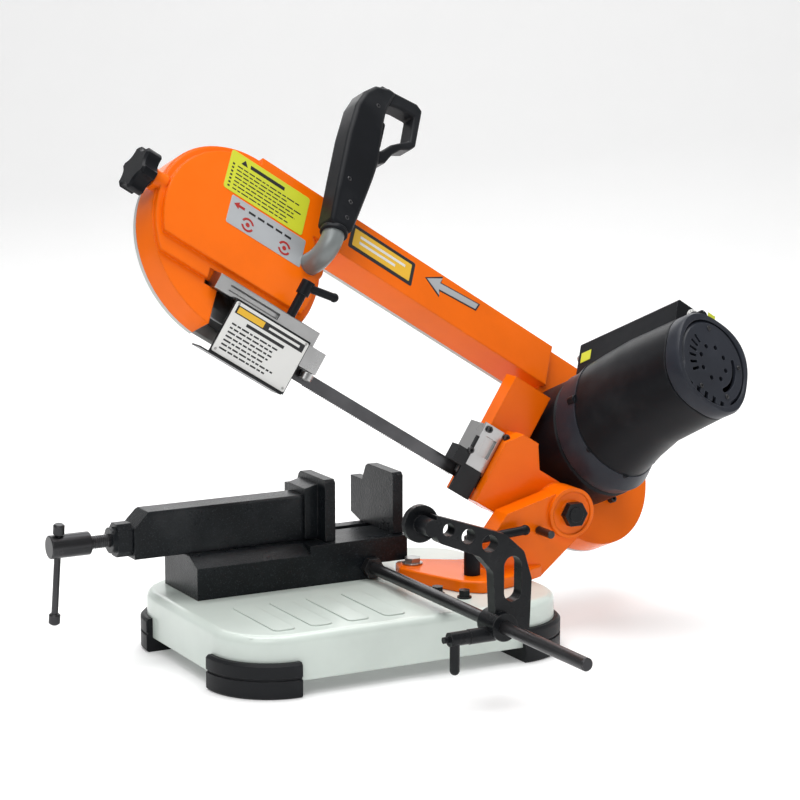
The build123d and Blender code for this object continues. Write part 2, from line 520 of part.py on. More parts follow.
def return_spring():
    """Torsion spring round the hinge shaft, in the boss; it holds the bow up."""
    turns = (SPRING_POCKET - SPRING_WIRE - 1.5) / SPRING_PITCH
    helix = Helix(pitch=SPRING_PITCH, height=turns * SPRING_PITCH, radius=SPRING_R, direction=(0, 1, 0))
    start = Plane(origin=helix @ 0, z_dir=helix % 0)
    coil = sweep(start * Circle(SPRING_WIRE / 2), helix)
    return Pos(PIVOT_X, BOSS_Y1 - SPRING_POCKET + SPRING_WIRE / 2, PIVOT_Z) * coil


def depth_stop_pin():
    """Pin in the bracket that carries the bow's lower stop."""
    pin = rod_y(PIN_X, PIN_Z, BOSS_Y0 - 20, BOSS_Y1 - 6, PIN_D)
    return chamfer(pin.edges().filter_by(GeomType.CIRCLE), 0.8)


def mitre_lock_lever():
    """Clamping lever of the swivel arm with its stud; it turns about the stud."""
    z = ARM_Z1
    lever = rod_z(LOCK_X, LOCK_Y, z + FIT, z + 38, 16)
    lever += rod_z(LOCK_X, LOCK_Y, z + 38, z + 44, 11)
    grip = Pos(LOCK_X, LOCK_Y, z + 34) * Rot(0, 0, -8) * Rot(0, 84, 0)
    lever += grip * Pos(0, 0, 30) * Cylinder(4.5, 52)
    lever += grip * Pos(0, 0, 56) * Sphere(5.2)
    lever += rod_z(LOCK_X, LOCK_Y, BASE_TOP - BASE_WALL - 6, z + 1, LOCK_D)
    return lever + hex_z(LOCK_X, LOCK_Y, BASE_TOP - BASE_WALL - 6, BASE_TOP - BASE_WALL - FIT, 13)


# ---------------------------------------------------------------- bow: casting and cover


def bow_outline(inset):
    """Two wheel housings joined by the beam, in the wheel plane."""
    r, drive_r = HOUSING_R - inset, DRIVE_HOUSING_R - inset
    v0 = BEAM_V0 + inset
    beam = Polyline((LEFT_U, v0), (WHEEL_X, v0), (WHEEL_X, drive_r), (COLUMN_X1, r), (LEFT_U, r), close=True)
    return wheel_spaces(inset) + make_face(beam)


def bow_frame():
    body = slab(bow_outline(0), CAST_BACK, CAST_LOW)
    beam_top = Pos((LEFT_U + WHEEL_X) / 2, BEAM_V0 + BEAM_H / 2)
    beam_top = beam_top * Rectangle(WHEEL_X - LEFT_U, BEAM_H)
    for margin, low, height in ((2, 56, CAST_LOW + 4), (8, 38, CAST_FRONT)):
        step = Pos(LEFT_U, 0) * Circle(HOUSING_R - margin)
        step &= Pos(LEFT_U, HOUSING_R - low) * Rectangle(2 * HOUSING_R, 2 * HOUSING_R)
        body += slab(step, CAST_LOW - 1, height)
    body += slab(beam_top, CAST_LOW - 1, CAST_FRONT)
    body -= block(COLUMN_U1 + 12, WHEEL_X + 120, -120, 120, CAST_LOW, CAST_FRONT + 1)
    cavity = slab(bow_outline(WALL), CAST_BACK - 1, CAST_LOW - WALL)
    body -= cavity
    body -= slab(Pos((LEFT_U + COLUMN_U1) / 2 + 20, BEAM_V0 + BEAM_H / 2)
                 * Rectangle(COLUMN_U1 - LEFT_U - 60, BEAM_H - 2 * WALL), CAST_BACK, CAST_FRONT - WALL)
    body += tension_boss() & block(LEFT_U - 2 * HOUSING_R, LEFT_U, -60, 60, CAST_BACK, CAST_FRONT)
    body -= tension_pocket()
    body += slab(Pos(GRIP_U, HANDLE_V) * Circle(17), CAST_LOW - WALL, CAST_FRONT)
    body -= slab(Pos(GRIP_U, HANDLE_V) * Circle(TUBE_D / 2), CAST_LOW - WALL + 2, CAST_FRONT + 1)
    body -= slab(Pos(WHEEL_X, 0) * Circle(DRIVE_SEAT_R), CAST_BACK, CAST_FRONT)
    casting = WHEELS * body + BOW * bow_column()
    casting -= BOW * rod_y(0, 0, BOSS_Y1, KNUCKLE_Y1, SHAFT_D)
    casting -= BOW * guide_channel()
    casting -= BOW * blade_channel()
    casting -= WHEELS * slab(wheel_spaces(WALL), CAST_BACK - 30, CAST_LOW - WALL)
    return casting - WHEELS * slab(Pos(GEARBOX_U, GEARBOX_V) * Circle(GEARBOX_R), CAST_LOW, GEARBOX_END)


def wheel_spaces(inset):
    """The two round housings, drawn in by a margin."""
    left = Pos(LEFT_U, 0) * Circle(HOUSING_R - inset)
    return left + Pos(WHEEL_X, 0) * Circle(DRIVE_HOUSING_R - inset)


def bow_column():
    """Column from the beam down to the hinge knuckle, drawn with the bow horizontal."""
    y0, y1 = KNUCKLE_Y0 + 4, BLADE_Y - 8
    web = prism_xz([(COLUMN_X0, -34), (COLUMN_X1, -34), (COLUMN_X1, 96), (COLUMN_X0, 96)],
                   BLADE_Y + 8, COLUMN_BACK)
    cheek = prism_xz([(-86, -36), (-40, -36), (0, -24), (0, 22), (COLUMN_X1, 24), (-52, 46), (-72, 46),
                      (-86, 30)], y0, y1)
    bridge = prism_xz([(-72, 20), (COLUMN_X1 + 8, 20), (COLUMN_X1 + 8, 23), (-52, 45), (-72, 45)],
                      y0, BLADE_Y + 9)
    root = block(COLUMN_X1, 24, y0, BLADE_Y + 13, -2, 24)
    return web + cheek + bridge + root + rod_y(0, 0, KNUCKLE_Y0, KNUCKLE_Y1, 50)


def blade_channel():
    """Free space for the lower strand and the fixed guide between column and cheek."""
    strand = block(GUIDE_R_X, WHEEL_X, KNUCKLE_Y1, BLADE_Y + 11, STRAND_Z - 16, STRAND_Z + 12)
    y0, y1 = BLADE_Y - GUIDE_HALF, BLADE_Y + GUIDE_HALF
    return strand + block(GUIDE_R_X, GUIDE_R_X + GUIDE_LEN, y0, y1 + 1, STRAND_Z - 30, GUIDE_R_TOP)


def tension_pocket():
    """Slideway in the back of the idler housing's front wall."""
    slide = block(LEFT_U - 50, LEFT_U + 44, -16, 24, CAST_LOW - WALL - 1, CARRIER_W1 + FIT)
    return slide + rod_x(TENSION_V, TENSION_W, LEFT_U - 120, LEFT_U - 40, TENSION_D + 2 * FIT)


def tension_boss():
    """Boss on the rim of the idler housing, round the tensioner's stem."""
    rim = LEFT_U - HOUSING_R
    return rod_x(TENSION_V, TENSION_W, rim - 6, rim + 8, 21)


def guide_channel():
    """Slideway for the guide bar in the idler housing, and free space for its guide block."""
    x1 = BAR_X1 + 180
    bar = block(BAR_X0 - 6, x1, BAR_Y0 - 60, BAR_Y1 + FIT, BAR_Z0 - FIT, BAR_Z1 + FIT)
    bar += block(PLATE_X0 - 14, x1, BAR_Y0 - 60, BAR_Y1 + 2, BAR_Z0 - 80, BAR_Z0)
    guide_x0 = GUIDE_L_X - GUIDE_LEN - 1
    return bar + block(guide_x0, x1, BAR_Y0, BLADE_Y + GUIDE_HALF + 1.5, BAR_Z0 - 80, BAR_Z0 + FIT)


def back_cover():
    plate = slab(bow_outline(0), CAST_BACK - COVER_T, CAST_BACK - 0.1)
    plate -= slab(bow_outline(2), CAST_BACK - COVER_T + 1.5, CAST_BACK + 1)
    cover = WHEELS * plate
    cover -= BOW * guide_channel()
    return cover - BOW * block(-90, 26, -60, 70, -60, 27)


def cover_knobs():
    """Screws with knurled heads that hold the back cover."""
    knobs = []
    for u, v in ((LEFT_U - 60, 62), (LEFT_U + 20, HOUSING_R - 14), (-200, 74), (WHEEL_X - 40, 76), (WHEEL_X + 70, 20)):
        head = Pos(u, v, CAST_BACK - COVER_T - 5) * Cylinder(8, 10)
        head = chamfer(head.edges().filter_by(GeomType.CIRCLE), 1)
        knobs.append(WHEELS * head)
    return knobs


# ---------------------------------------------------------------- bow: wheels and blade
def wheel(u, hub_bore):
    """Cast band wheel: rim with a back flange, web with windows, hub."""
    rim = Cylinder(WHEEL_R - FIT, WHEEL_FRONT - WHEEL_BACK) - Cylinder(WHEEL_R - 9, 40)
    rim = Pos(0, 0, (WHEEL_FRONT + WHEEL_BACK) / 2) * rim
    flange = Pos(0, 0, WHEEL_FRONT + 0.9) * (Cylinder(WHEEL_R + 2.5, 1.8) - Cylinder(WHEEL_R - 9, 5))
    web = Cylinder(WHEEL_R - 8, 5)
    for i in range(5):
        web -= Rot(0, 0, 72 * i) * Pos(48, 0, 0) * Cylinder(14, 10)
    hub = Pos(0, 0, 1.5) * Cylinder(20, 13)
    body = rim + flange + web + hub - Cylinder(hub_bore / 2, 60)
    return Pos(u, 0, 0) * body


def drive_wheel():
    return WHEELS * wheel(WHEEL_X, AXLE_D)


def idler_wheel():
    return WHEELS * wheel(IDLER_X, BEARING_OD)


def ring(u, v, w0, w1, outer, inner):
    return Pos(u, v, (w0 + w1) / 2) * (Cylinder(outer / 2, w1 - w0) - Cylinder(inner / 2, 2 * (w1 - w0)))


def idler_bearing():
    return WHEELS * ring(IDLER_X, 0, -4, 7, BEARING_OD, AXLE_D + 2 * 0.1)


def idler_carrier():
    """Slide block of the blade tensioner with the idler's axle."""
    slide = block(IDLER_X - 40, IDLER_X + 30, -16 + FIT, 24 - FIT, CARRIER_W0, CARRIER_W1)
    slide += rod_z(IDLER_X, 0, -5.5, CARRIER_W1, AXLE_D)
    slide += rod_z(IDLER_X, 0, 8.3, CARRIER_W1, 19)
    slide -= rod_x(TENSION_V, TENSION_W, IDLER_X - 41, IDLER_X - 14, TENSION_SCREW_D + 2 * FIT)
    return WHEELS * slide


def tension_knob():
    """Star knob with its threaded stem, pulling the idler carrier outwards."""
    u0 = LEFT_U - HOUSING_R
    stem = rod_x(TENSION_V, TENSION_W, u0 - 20, u0 + WALL + 4, TENSION_D)
    stem += rod_x(TENSION_V, TENSION_W, u0 + WALL, IDLER_X - 24, TENSION_SCREW_D)
    head = Rot(0, 90, 0) * Cylinder(STAR_R, 16)
    for i in range(6):
        head -= Rot(60 * i, 0, 0) * Pos(0, 0, STAR_R + 7) * Rot(0, 90, 0) * Cylinder(12, 40)
    head = chamfer(head.faces().sort_by(Axis.X)[0].outer_wire().edges(), 2)
    collar = rod_x(0, 0, 7, 11, 18)
    return WHEELS * (stem + Pos(u0 - 19, TENSION_V, TENSION_W) * (head + collar))


def twisted_strand(x_wheel, x_guide):
    """Lower strand between a wheel and a guide, turning into the cutting plane."""
    reach = WHEEL_R + BLADE_T / 2
    tangent_y = AXIS_Y - reach * SIN_T
    tangent_z = AXIS_Z - reach * COS_T
    sections = []
    for i in range(TWIST_STEPS + 1):
        s = i / TWIST_STEPS
        blend = s * s * (3 - 2 * s)
        x = x_wheel + (x_guide - x_wheel) * s
        y = tangent_y + (BLADE_Y - tangent_y) * blend
        z = tangent_z + (STRAND_Z - tangent_z) * blend
        turn = TWIST * blend
        plane = Plane(origin=(x, y, z), x_dir=(0, COS_T * math.cos(turn) - SIN_T * math.sin(turn),
                                                -SIN_T * math.cos(turn) - COS_T * math.sin(turn)),
                      z_dir=(1, 0, 0))
        sections.append(plane * Rectangle(BLADE_W, BLADE_T))
    return loft(sections, ruled=True)


def blade():
    """Endless blade: two arcs on the wheels, a flat upper strand, a twisted lower one."""
    r = WHEEL_R + BLADE_T / 2
    loop = None
    for u, side in ((IDLER_X, -1), (WHEEL_X, 1)):
        band = Cylinder(r + BLADE_T / 2, BLADE_W) - Cylinder(r - BLADE_T / 2, BLADE_W + 2)
        half = Pos(u, 0, 0) * (band & (Pos(side * 60, 0, 0) * Box(120, 240, 40)))
        loop = half if loop is None else loop + half
    upper = block(IDLER_X, WHEEL_X, WHEEL_R, WHEEL_R + BLADE_T, -BLADE_W / 2, BLADE_W / 2)
    loop = BOW.inverse() * WHEELS * (loop + upper)
    straight = block(GUIDE_L_X - 4, GUIDE_R_X + 4, BLADE_Y - BLADE_T / 2, BLADE_Y + BLADE_T / 2,
                     STRAND_Z - BLADE_W / 2, STRAND_Z + BLADE_W / 2)
    loop += straight
    loop += twisted_strand(IDLER_X, GUIDE_L_X - 4)
    loop += twisted_strand(WHEEL_X, GUIDE_R_X + 4)
    return BOW * loop


# ---------------------------------------------------------------- bow: blade guides
def guide_rollers(x, direction):
    """Two side bearings that pinch the blade and one that backs it up."""
    pieces = []
    for side in (-1, 1):
        y = BLADE_Y + side * (BLADE_T / 2 + FIT + ROLLER_D / 2)
        outer = rod_z(x + direction * (10 + 3 * side), y, GUIDE_Z - 3.5, GUIDE_Z + 3.5, ROLLER_D)
        pieces.append(outer - rod_z(x + direction * (10 + 3 * side), y, GUIDE_Z - 5, GUIDE_Z + 5,
                                    ROLLER_PIN_D))
    back_z = STRAND_Z + BLADE_W / 2 + FIT + 8
    backing = rod_y(x + direction * 28, back_z, BLADE_Y - 3, BLADE_Y + 3, 16)
    pieces.append(backing - rod_y(x + direction * 28, back_z, BLADE_Y - 5, BLADE_Y + 5, ROLLER_PIN_D))
    return pieces


def roller_block(x, direction, top):
    """Guide block with the pins of its three bearings."""
    x0, x1 = sorted((x + direction * 2, x + direction * GUIDE_LEN))
    body = block(x0, x1, BLADE_Y - GUIDE_HALF, BLADE_Y + GUIDE_HALF, GUIDE_Z + 4.5, top)
    slot = block(x0 - 1, x1 + 1, BLADE_Y - 3.5, BLADE_Y + 3.5, GUIDE_Z, STRAND_Z + BLADE_W / 2 + 17)
    body -= slot
    for side in (-1, 1):
        y = BLADE_Y + side * (BLADE_T / 2 + FIT + ROLLER_D / 2)
        body += rod_z(x + direction * (10 + 3 * side), y, GUIDE_Z - 4, GUIDE_Z + 5, ROLLER_PIN_D)
    back_z = STRAND_Z + BLADE_W / 2 + FIT + 8
    body += rod_y(x + direction * 28, back_z, BLADE_Y - 12, BLADE_Y + 12, ROLLER_PIN_D)
    return body


def right_guide():
    """Steel guide block with an angle plate screwed to the column."""
    body = roller_block(GUIDE_R_X, 1, GUIDE_R_TOP)
    plate = block(GUIDE_R_X + 2, COLUMN_X0 + 4, BLADE_Y - GUIDE_HALF - 3, BLADE_Y - GUIDE_HALF, -8, 38)
    window = block(GUIDE_R_X + 9, GUIDE_R_X + 23, BLADE_Y - GUIDE_HALF - 4, BLADE_Y - GUIDE_HALF, 6, 26)
    return BOW * (body + (plate - window))


def right_rollers():
    return [BOW * piece for piece in guide_rollers(GUIDE_R_X, 1)]


def right_guard():
    """Black cover of the blade beside the fixed guide."""
    x0 = GUIDE_R_X
    y0, y1 = BLADE_Y - GUIDE_HALF - 4, BLADE_Y - GUIDE_HALF - 1
    cover = block(x0 - 1, COLUMN_X0 + 2, y0, y1, -38, -8)
    post = block(x0 - 1, x0 + 2, y0, y1, -38, 22)
    return BOW * (cover + post + block(x0 - 14, x0 - 1, y0, BLADE_Y - 2, -12, 5))


def guide_bar():
    """Ground steel bar that carries the sliding guide."""
    bar = block(BAR_X0, BAR_X1, BAR_Y0, BAR_Y1 - FIT, BAR_Z0, BAR_Z1)
    bar -= block(BAR_X0 + 14, BAR_X1 - 46, BAR_Y0 - 1, BAR_Y0 + 4, BAR_Z0 + 5, BAR_Z1 - 5)
    return BOW * chamfer(bar.edges().filter_by(Axis.X), 0.8)


def left_guide():
    """Guide block under the bar, with its back corner cut away beside the idler wheel."""
    body = roller_block(GUIDE_L_X, -1, BAR_Z0)
    corner = block(GUIDE_L_X - GUIDE_LEN - 1, GUIDE_L_X - 22, BLADE_Y + 6, BLADE_Y + GUIDE_HALF + 1,
                   GUIDE_Z + 20, BAR_Z0 + 1)
    return BOW * (body - corner)


def left_rollers():
    return [BOW * piece for piece in guide_rollers(GUIDE_L_X, -1)]


def left_guard():
    """Folded black guard in front of the blade, with a lip along its lower edge."""
    y0 = BLADE_Y - GUIDE_HALF - 3
    front = block(PLATE_X0, PLATE_X1 + 8, y0, y0 + 1.5, -42, BAR_Z0 + 2)
    top = block(PLATE_X0, PLATE_X1 + 8, y0, BAR_Y0, BAR_Z0 + 0.5, BAR_Z0 + 2)
    lip = block(PLATE_X0 - 12, PLATE_X1 + 4, y0 - 4, y0 + 14, -43.5, -42)
    end = block(PLATE_X1 + 6.5, PLATE_X1 + 8, y0, y0 + 3, -42, BAR_Z0)
    return BOW * (front + top + lip + end)


def guide_lock_lever():
    """Clamping lever on top of the guide bar; it turns about its vertical stud."""
    y = BAR_Y0 + 5
    lever = rod_z(LEVER_X, y, BAR_Z1 + FIT, 50, 9) + rod_z(LEVER_X, y, 50, 64, 13)
    arm = Pos(LEVER_X, y, 58) * Rot(0, 80, 0) * Pos(0, 0, 17) * Cylinder(4, 30)
    return BOW * (lever + arm + Pos(LEVER_X, y, 58) * Rot(0, 80, 0) * Pos(0, 0, 32) * Sphere(4.5))


# ---------------------------------------------------------------- bow: handle
def handle_tube():
    """Bent steel tube from its socket in the casting up into the grip."""
    w0, w1 = CAST_LOW - WALL + 2, GRIP_W
    path = FilletPolyline((GRIP_U, HANDLE_V, w0), (GRIP_U, HANDLE_V, w1),
                          (GRIP_U, TRIGGER_V - TUBE_REACH, w1), radius=BEND_R)
    section = Plane(origin=(GRIP_U, HANDLE_V, w0), z_dir=(0, 0, 1))
    tube = sweep(section * Circle(TUBE_D / 2), path) - sweep(section * Circle(TUBE_D / 2 - 2.5), path)
    return WHEELS * tube


def grip_plan(points, half):
    """Outline given from the tube's axis, extruded both ways from the grip's mid-plane."""
    wire = Polyline(*[(GRIP_U + u, v, 0) for u, v in points], close=True)
    return extrude(make_face(wire), half, both=True)


def grip_body():
    """Pistol grip with a D-shaped guard towards the motor, both halves in one."""
    outline = [(-22, GRIP_V0), (15, GRIP_V0), (22, 101), (30, 137), (48, 161), (61, 171),
               (61, GRIP_V1), (2, GRIP_V1 - 7), (-24, GRIP_V1 - 27), (-31, GRIP_V1 - 49), (-25, 110)]
    grip = fillet(edges_along(grip_plan(outline, 16), Axis.Z), 6)
    hole = [(20, TRIGGER_V - 22), (38, TRIGGER_V - 6), (53, TRIGGER_V + 8), (53, GRIP_V1 - 12),
            (36, GRIP_V1 - 15), (20, GRIP_V1 - 22)]
    grip -= fillet(edges_along(grip_plan(hole, 20), Axis.Z), 3)
    grip -= block(GRIP_U + 11, GRIP_U + 21, TRIGGER_V - 16, TRIGGER_V + 20, -8, 8)
    grip -= rod_y(GRIP_U, 0, GRIP_V0 - 1, TRIGGER_V - TUBE_REACH + 1, TUBE_D + 0.2)
    return Pos(0, 0, GRIP_W) * grip


def grip_shell(side):
    half = block(GRIP_U - 60, GRIP_U + 110, 0, 260, GRIP_W + (0 if side > 0 else -30),
                 GRIP_W + (30 if side > 0 else 0))
    shell = grip_body() & half
    for u, v in GRIP_SCREWS:
        shell -= ring(u, v, GRIP_W - 20, GRIP_W + 20, 4, 0.5) + Pos(u, v, GRIP_W) * Cylinder(0.6, 60)
    return WHEELS * shell


def grip_screws():
    return [WHEELS * (Pos(u, v, GRIP_W) * Cylinder(1.9, 24)) for u, v in GRIP_SCREWS]


def trigger():
    """Sliding trigger in the grip; it moves towards the grip's back."""
    body = block(GRIP_U + 17, GRIP_U + 26, TRIGGER_V - 14, TRIGGER_V + 18, GRIP_W - 7.5, GRIP_W + 7.5)
    body = fillet(body.faces().sort_by(Axis.X)[-1].edges().filter_by(Axis.Z), 3)
    return WHEELS * body


# ---------------------------------------------------------------- bow: drive
def gearbox_housing():
    """Drum bolted to the drive housing, closed by the motor's end of it."""
    drum = slab(Pos(GEARBOX_U, GEARBOX_V) * Circle(GEARBOX_R), CAST_LOW, GEARBOX_END)
    drum = chamfer(drum.faces().sort_by(Axis.Z)[-1].edges(), 4)
    drum -= slab(Pos(GEARBOX_U, GEARBOX_V) * Circle(GEARBOX_R - 4), CAST_LOW - 1, GEARBOX_END - 5)
    drum -= slab(Pos(MOTOR_U, MOTOR_V) * Circle(MOTOR_BEARING_D / 2), GEARBOX_END - 6, GEARBOX_END + 1)
    drum += ring(WHEEL_X, 0, LAY_W1 + 1, GEARBOX_END - 4, 34, AXLE_D + 2 * FIT)
    drum += ring(LAY_U, LAY_V, LAY_W1 + 1, GEARBOX_END - 4, 16, LAY_D + 2 * FIT)
    return WHEELS * drum


def gearbox_plate():
    """Bearing plate between the wheel and the gears."""
    plate = slab(Pos(GEARBOX_U, GEARBOX_V) * Circle(GEARBOX_R - 4.05), CAST_LOW, PLATE_W1)
    plate += slab(Pos(WHEEL_X, 0) * Circle(DRIVE_SEAT_R - 0.2), CAST_LOW - WALL, CAST_LOW)
    plate -= slab(Pos(WHEEL_X, 0) * Circle(BEARING_OD / 2), CAST_LOW - WALL - 1, PLATE_W1 + 1)
    return WHEELS * (plate - slab(Pos(LAY_U, LAY_V) * Circle(LAY_D / 2 + FIT), CAST_LOW - 1, PLATE_W1 + 1))


def drive_bearing():
    return WHEELS * ring(WHEEL_X, 0, CAST_LOW - WALL + 1, PLATE_W1, BEARING_OD, AXLE_D + 0.2)


def drive_shaft():
    return WHEELS * rod_z(WHEEL_X, 0, WHEEL_BACK + 1, GEARBOX_END - 6, AXLE_D)


def spur(teeth, module, w0, w1, bore):
    """Spur gear with slim straight-sided teeth."""
    r = teeth * module / 2
    step = 2 * math.pi / teeth
    points = []
    for i in range(teeth):
        for share, radius in ((-0.17, r - 0.9 * module), (-0.10, r + 0.45 * module),
                              (0.10, r + 0.45 * module), (0.17, r - 0.9 * module)):
            a = (i + share) * step
            points.append((radius * math.cos(a), radius * math.sin(a)))
    gear = prism_xy(points, w0, w1)
    return gear - Pos(0, 0, (w0 + w1) / 2) * Cylinder(bore / 2, w1 - w0 + 2)


def final_gear():
    """Large gear on the drive shaft."""
    gear = spur(FINAL_TEETH, FINAL_MODULE, FINAL_W0, FINAL_W1, AXLE_D)
    return WHEELS * Pos(WHEEL_X, 0, 0) * Rot(0, 0, LAY_ANGLE + 180) * gear


def layshaft():
    """Intermediate shaft: the large first gear and the small second pinion."""
    shaft = rod_z(LAY_U, LAY_V, CAST_LOW + 1, GEARBOX_END - 6, LAY_D)
    turn = LAY_ANGLE + 180 / SMALL_TEETH
    shaft += Pos(LAY_U, LAY_V, 0) * Rot(0, 0, turn) * spur(SMALL_TEETH, FINAL_MODULE, FINAL_W0, FINAL_W1,
                                                         LAY_D - 1)
    gear = spur(FIRST_TEETH, FIRST_MODULE, LAY_W0, LAY_W1, LAY_D - 1)
    return WHEELS * (shaft + Pos(LAY_U, LAY_V, 0) * Rot(0, 0, FIRST_ANGLE) * gear)


def motor_rotor():
    """Motor shaft with its pinion, armature, commutator and fan."""
    centre = Pos(MOTOR_U, MOTOR_V, 0)
    rotor = rod_z(MOTOR_U, MOTOR_V, LAY_W0 - 0.5, MOTOR_END - 12, MOTOR_SHAFT_D)
    rotor -= rod_z(MOTOR_U, MOTOR_V, LAY_W0 - 1, LAY_W1 + 1, MOTOR_SHAFT_D + 1)
    pinion = spur(PINION_TEETH, FIRST_MODULE, LAY_W0 - 0.5, LAY_W1 + 1, 1)
    rotor += centre * Rot(0, 0, FIRST_ANGLE + 180 + 180 / PINION_TEETH) * pinion
    rotor += rod_z(MOTOR_U, MOTOR_V, 98, 150, STATOR_BORE - 2)
    rotor += rod_z(MOTOR_U, MOTOR_V, 158, 176, 24)
    rotor += Pos(MOTOR_U, MOTOR_V, 76) * Cylinder(34, 2)
    for i in range(9):
        rotor += centre * Rot(0, 0, 40 * i) * Pos(23, 0, 80) * Rot(0, 0, 20) * Box(18, 1.6, 8)
    return WHEELS * rotor


def motor_bearings():
    bore = MOTOR_SHAFT_D + 0.2
    front = ring(MOTOR_U, MOTOR_V, GEARBOX_END - 4.8, GEARBOX_END + 2, MOTOR_BEARING_D, bore)
    rear = ring(MOTOR_U, MOTOR_V, MOTOR_END - 19, MOTOR_END - 13, MOTOR_BEARING_D, bore)
    return [WHEELS * front, WHEELS * rear]


def motor_stator():
    return WHEELS * ring(MOTOR_U, MOTOR_V, 94, 152, 2 * MOTOR_R - 8, STATOR_BORE)


def motor_section(inset):
    """Round motor section with a flat underside and the control box on top."""
    r = MOTOR_R - inset
    body = Circle(r) & (Pos(0, 12) * Rectangle(2 * r, 2 * r + 4))
    shoulder = Pos(-4, -r / 2 - 4) * Rectangle(2 * r - 16, r - 6) & Circle(r + 6)
    return Pos(MOTOR_U, MOTOR_V) * (body + shoulder)


def control_box_section(inset):
    return Pos(MOTOR_U - 6, BOX_V + 10) * RectangleRounded(62 - 2 * inset, 40 - 2 * inset, 3)


def motor_housing():
    """Moulded motor shell with the control box along its upper side."""
    shell = slab(motor_section(0), GEARBOX_END + 0.1, MOTOR_SPLIT)
    shell += slab(control_box_section(0), BOX_W0, BOX_W1)
    shell -= slab(motor_section(3), GEARBOX_END + 4, MOTOR_SPLIT + 1)
    shell -= slab(control_box_section(3), BOX_W0 + 4, BOX_W1 - 4)
    bearing = Pos(MOTOR_U, MOTOR_V) * Circle(MOTOR_BEARING_D / 2)
    return WHEELS * (shell - slab(bearing, GEARBOX_END - 1, GEARBOX_END + 5))


def motor_end_cap():
    """Vented end cap with a ring of holes, curved slots and slots below."""
    cap = slab(motor_section(0), MOTOR_SPLIT + 0.1, MOTOR_END)
    cap = chamfer(cap.faces().sort_by(Axis.Z)[-1].edges(), 3)
    cap -= slab(motor_section(3), MOTOR_SPLIT, MOTOR_END - 4)
    cap += ring(MOTOR_U, MOTOR_V, MOTOR_END - 19, MOTOR_END - 3, 28, MOTOR_BEARING_D)
    hole = Pos(MOTOR_U, MOTOR_V, MOTOR_END)
    for i in range(8):
        cap -= hole * Rot(0, 0, 45 * i) * Pos(17.5, 0, 0) * Cylinder(2.6, 14)
    for i in range(6):
        cap -= hole * Rot(0, 0, 150 + 14 * i) * Pos(29, 0, 0) * Box(10, 3, 14)
    arc = SlotArc(CenterArc((0, 0), 29, -50, 80), 5)
    cap -= slab(Pos(MOTOR_U, MOTOR_V) * arc, MOTOR_END - 6, MOTOR_END + 1)
    for i in range(5):
        cap -= Pos(MOTOR_U - 26 + 11 * i, MOTOR_V - MOTOR_R + 2, MOTOR_END - 3) * Box(5, 12, 12)
    return WHEELS * cap


def indicator_lenses():
    """Clear lenses at both ends of the control box."""
    inner = Pos(MOTOR_U - 26, DIAL_V, BOX_W0 - 5) * Cylinder(6, 10)
    outer = Pos(MOTOR_U + 16, DIAL_V, BOX_W1 + 5) * Cylinder(6, 10)
    return [WHEELS * chamfer(inner.faces().sort_by(Axis.Z)[0].edges(), 1.5),
            WHEELS * chamfer(outer.faces().sort_by(Axis.Z)[-1].edges(), 1.5)]


def speed_dial():
    """Rotary speed knob on the end of the control box."""
    knob = Pos(0, 0, 2 + 5) * Cylinder(6, 10) + Pos(0, 0, 1) * Cylinder(8, 2)
    knob -= Pos(0, 5, 11) * Box(1.4, 4, 3)
    for i in range(18):
        knob -= Rot(0, 0, 20 * i + 10) * Pos(6.3, 0, 8) * Cylinder(0.6, 9)
    return WHEELS * Pos(DIAL_U, DIAL_V, DIAL_W + FIT) * knob


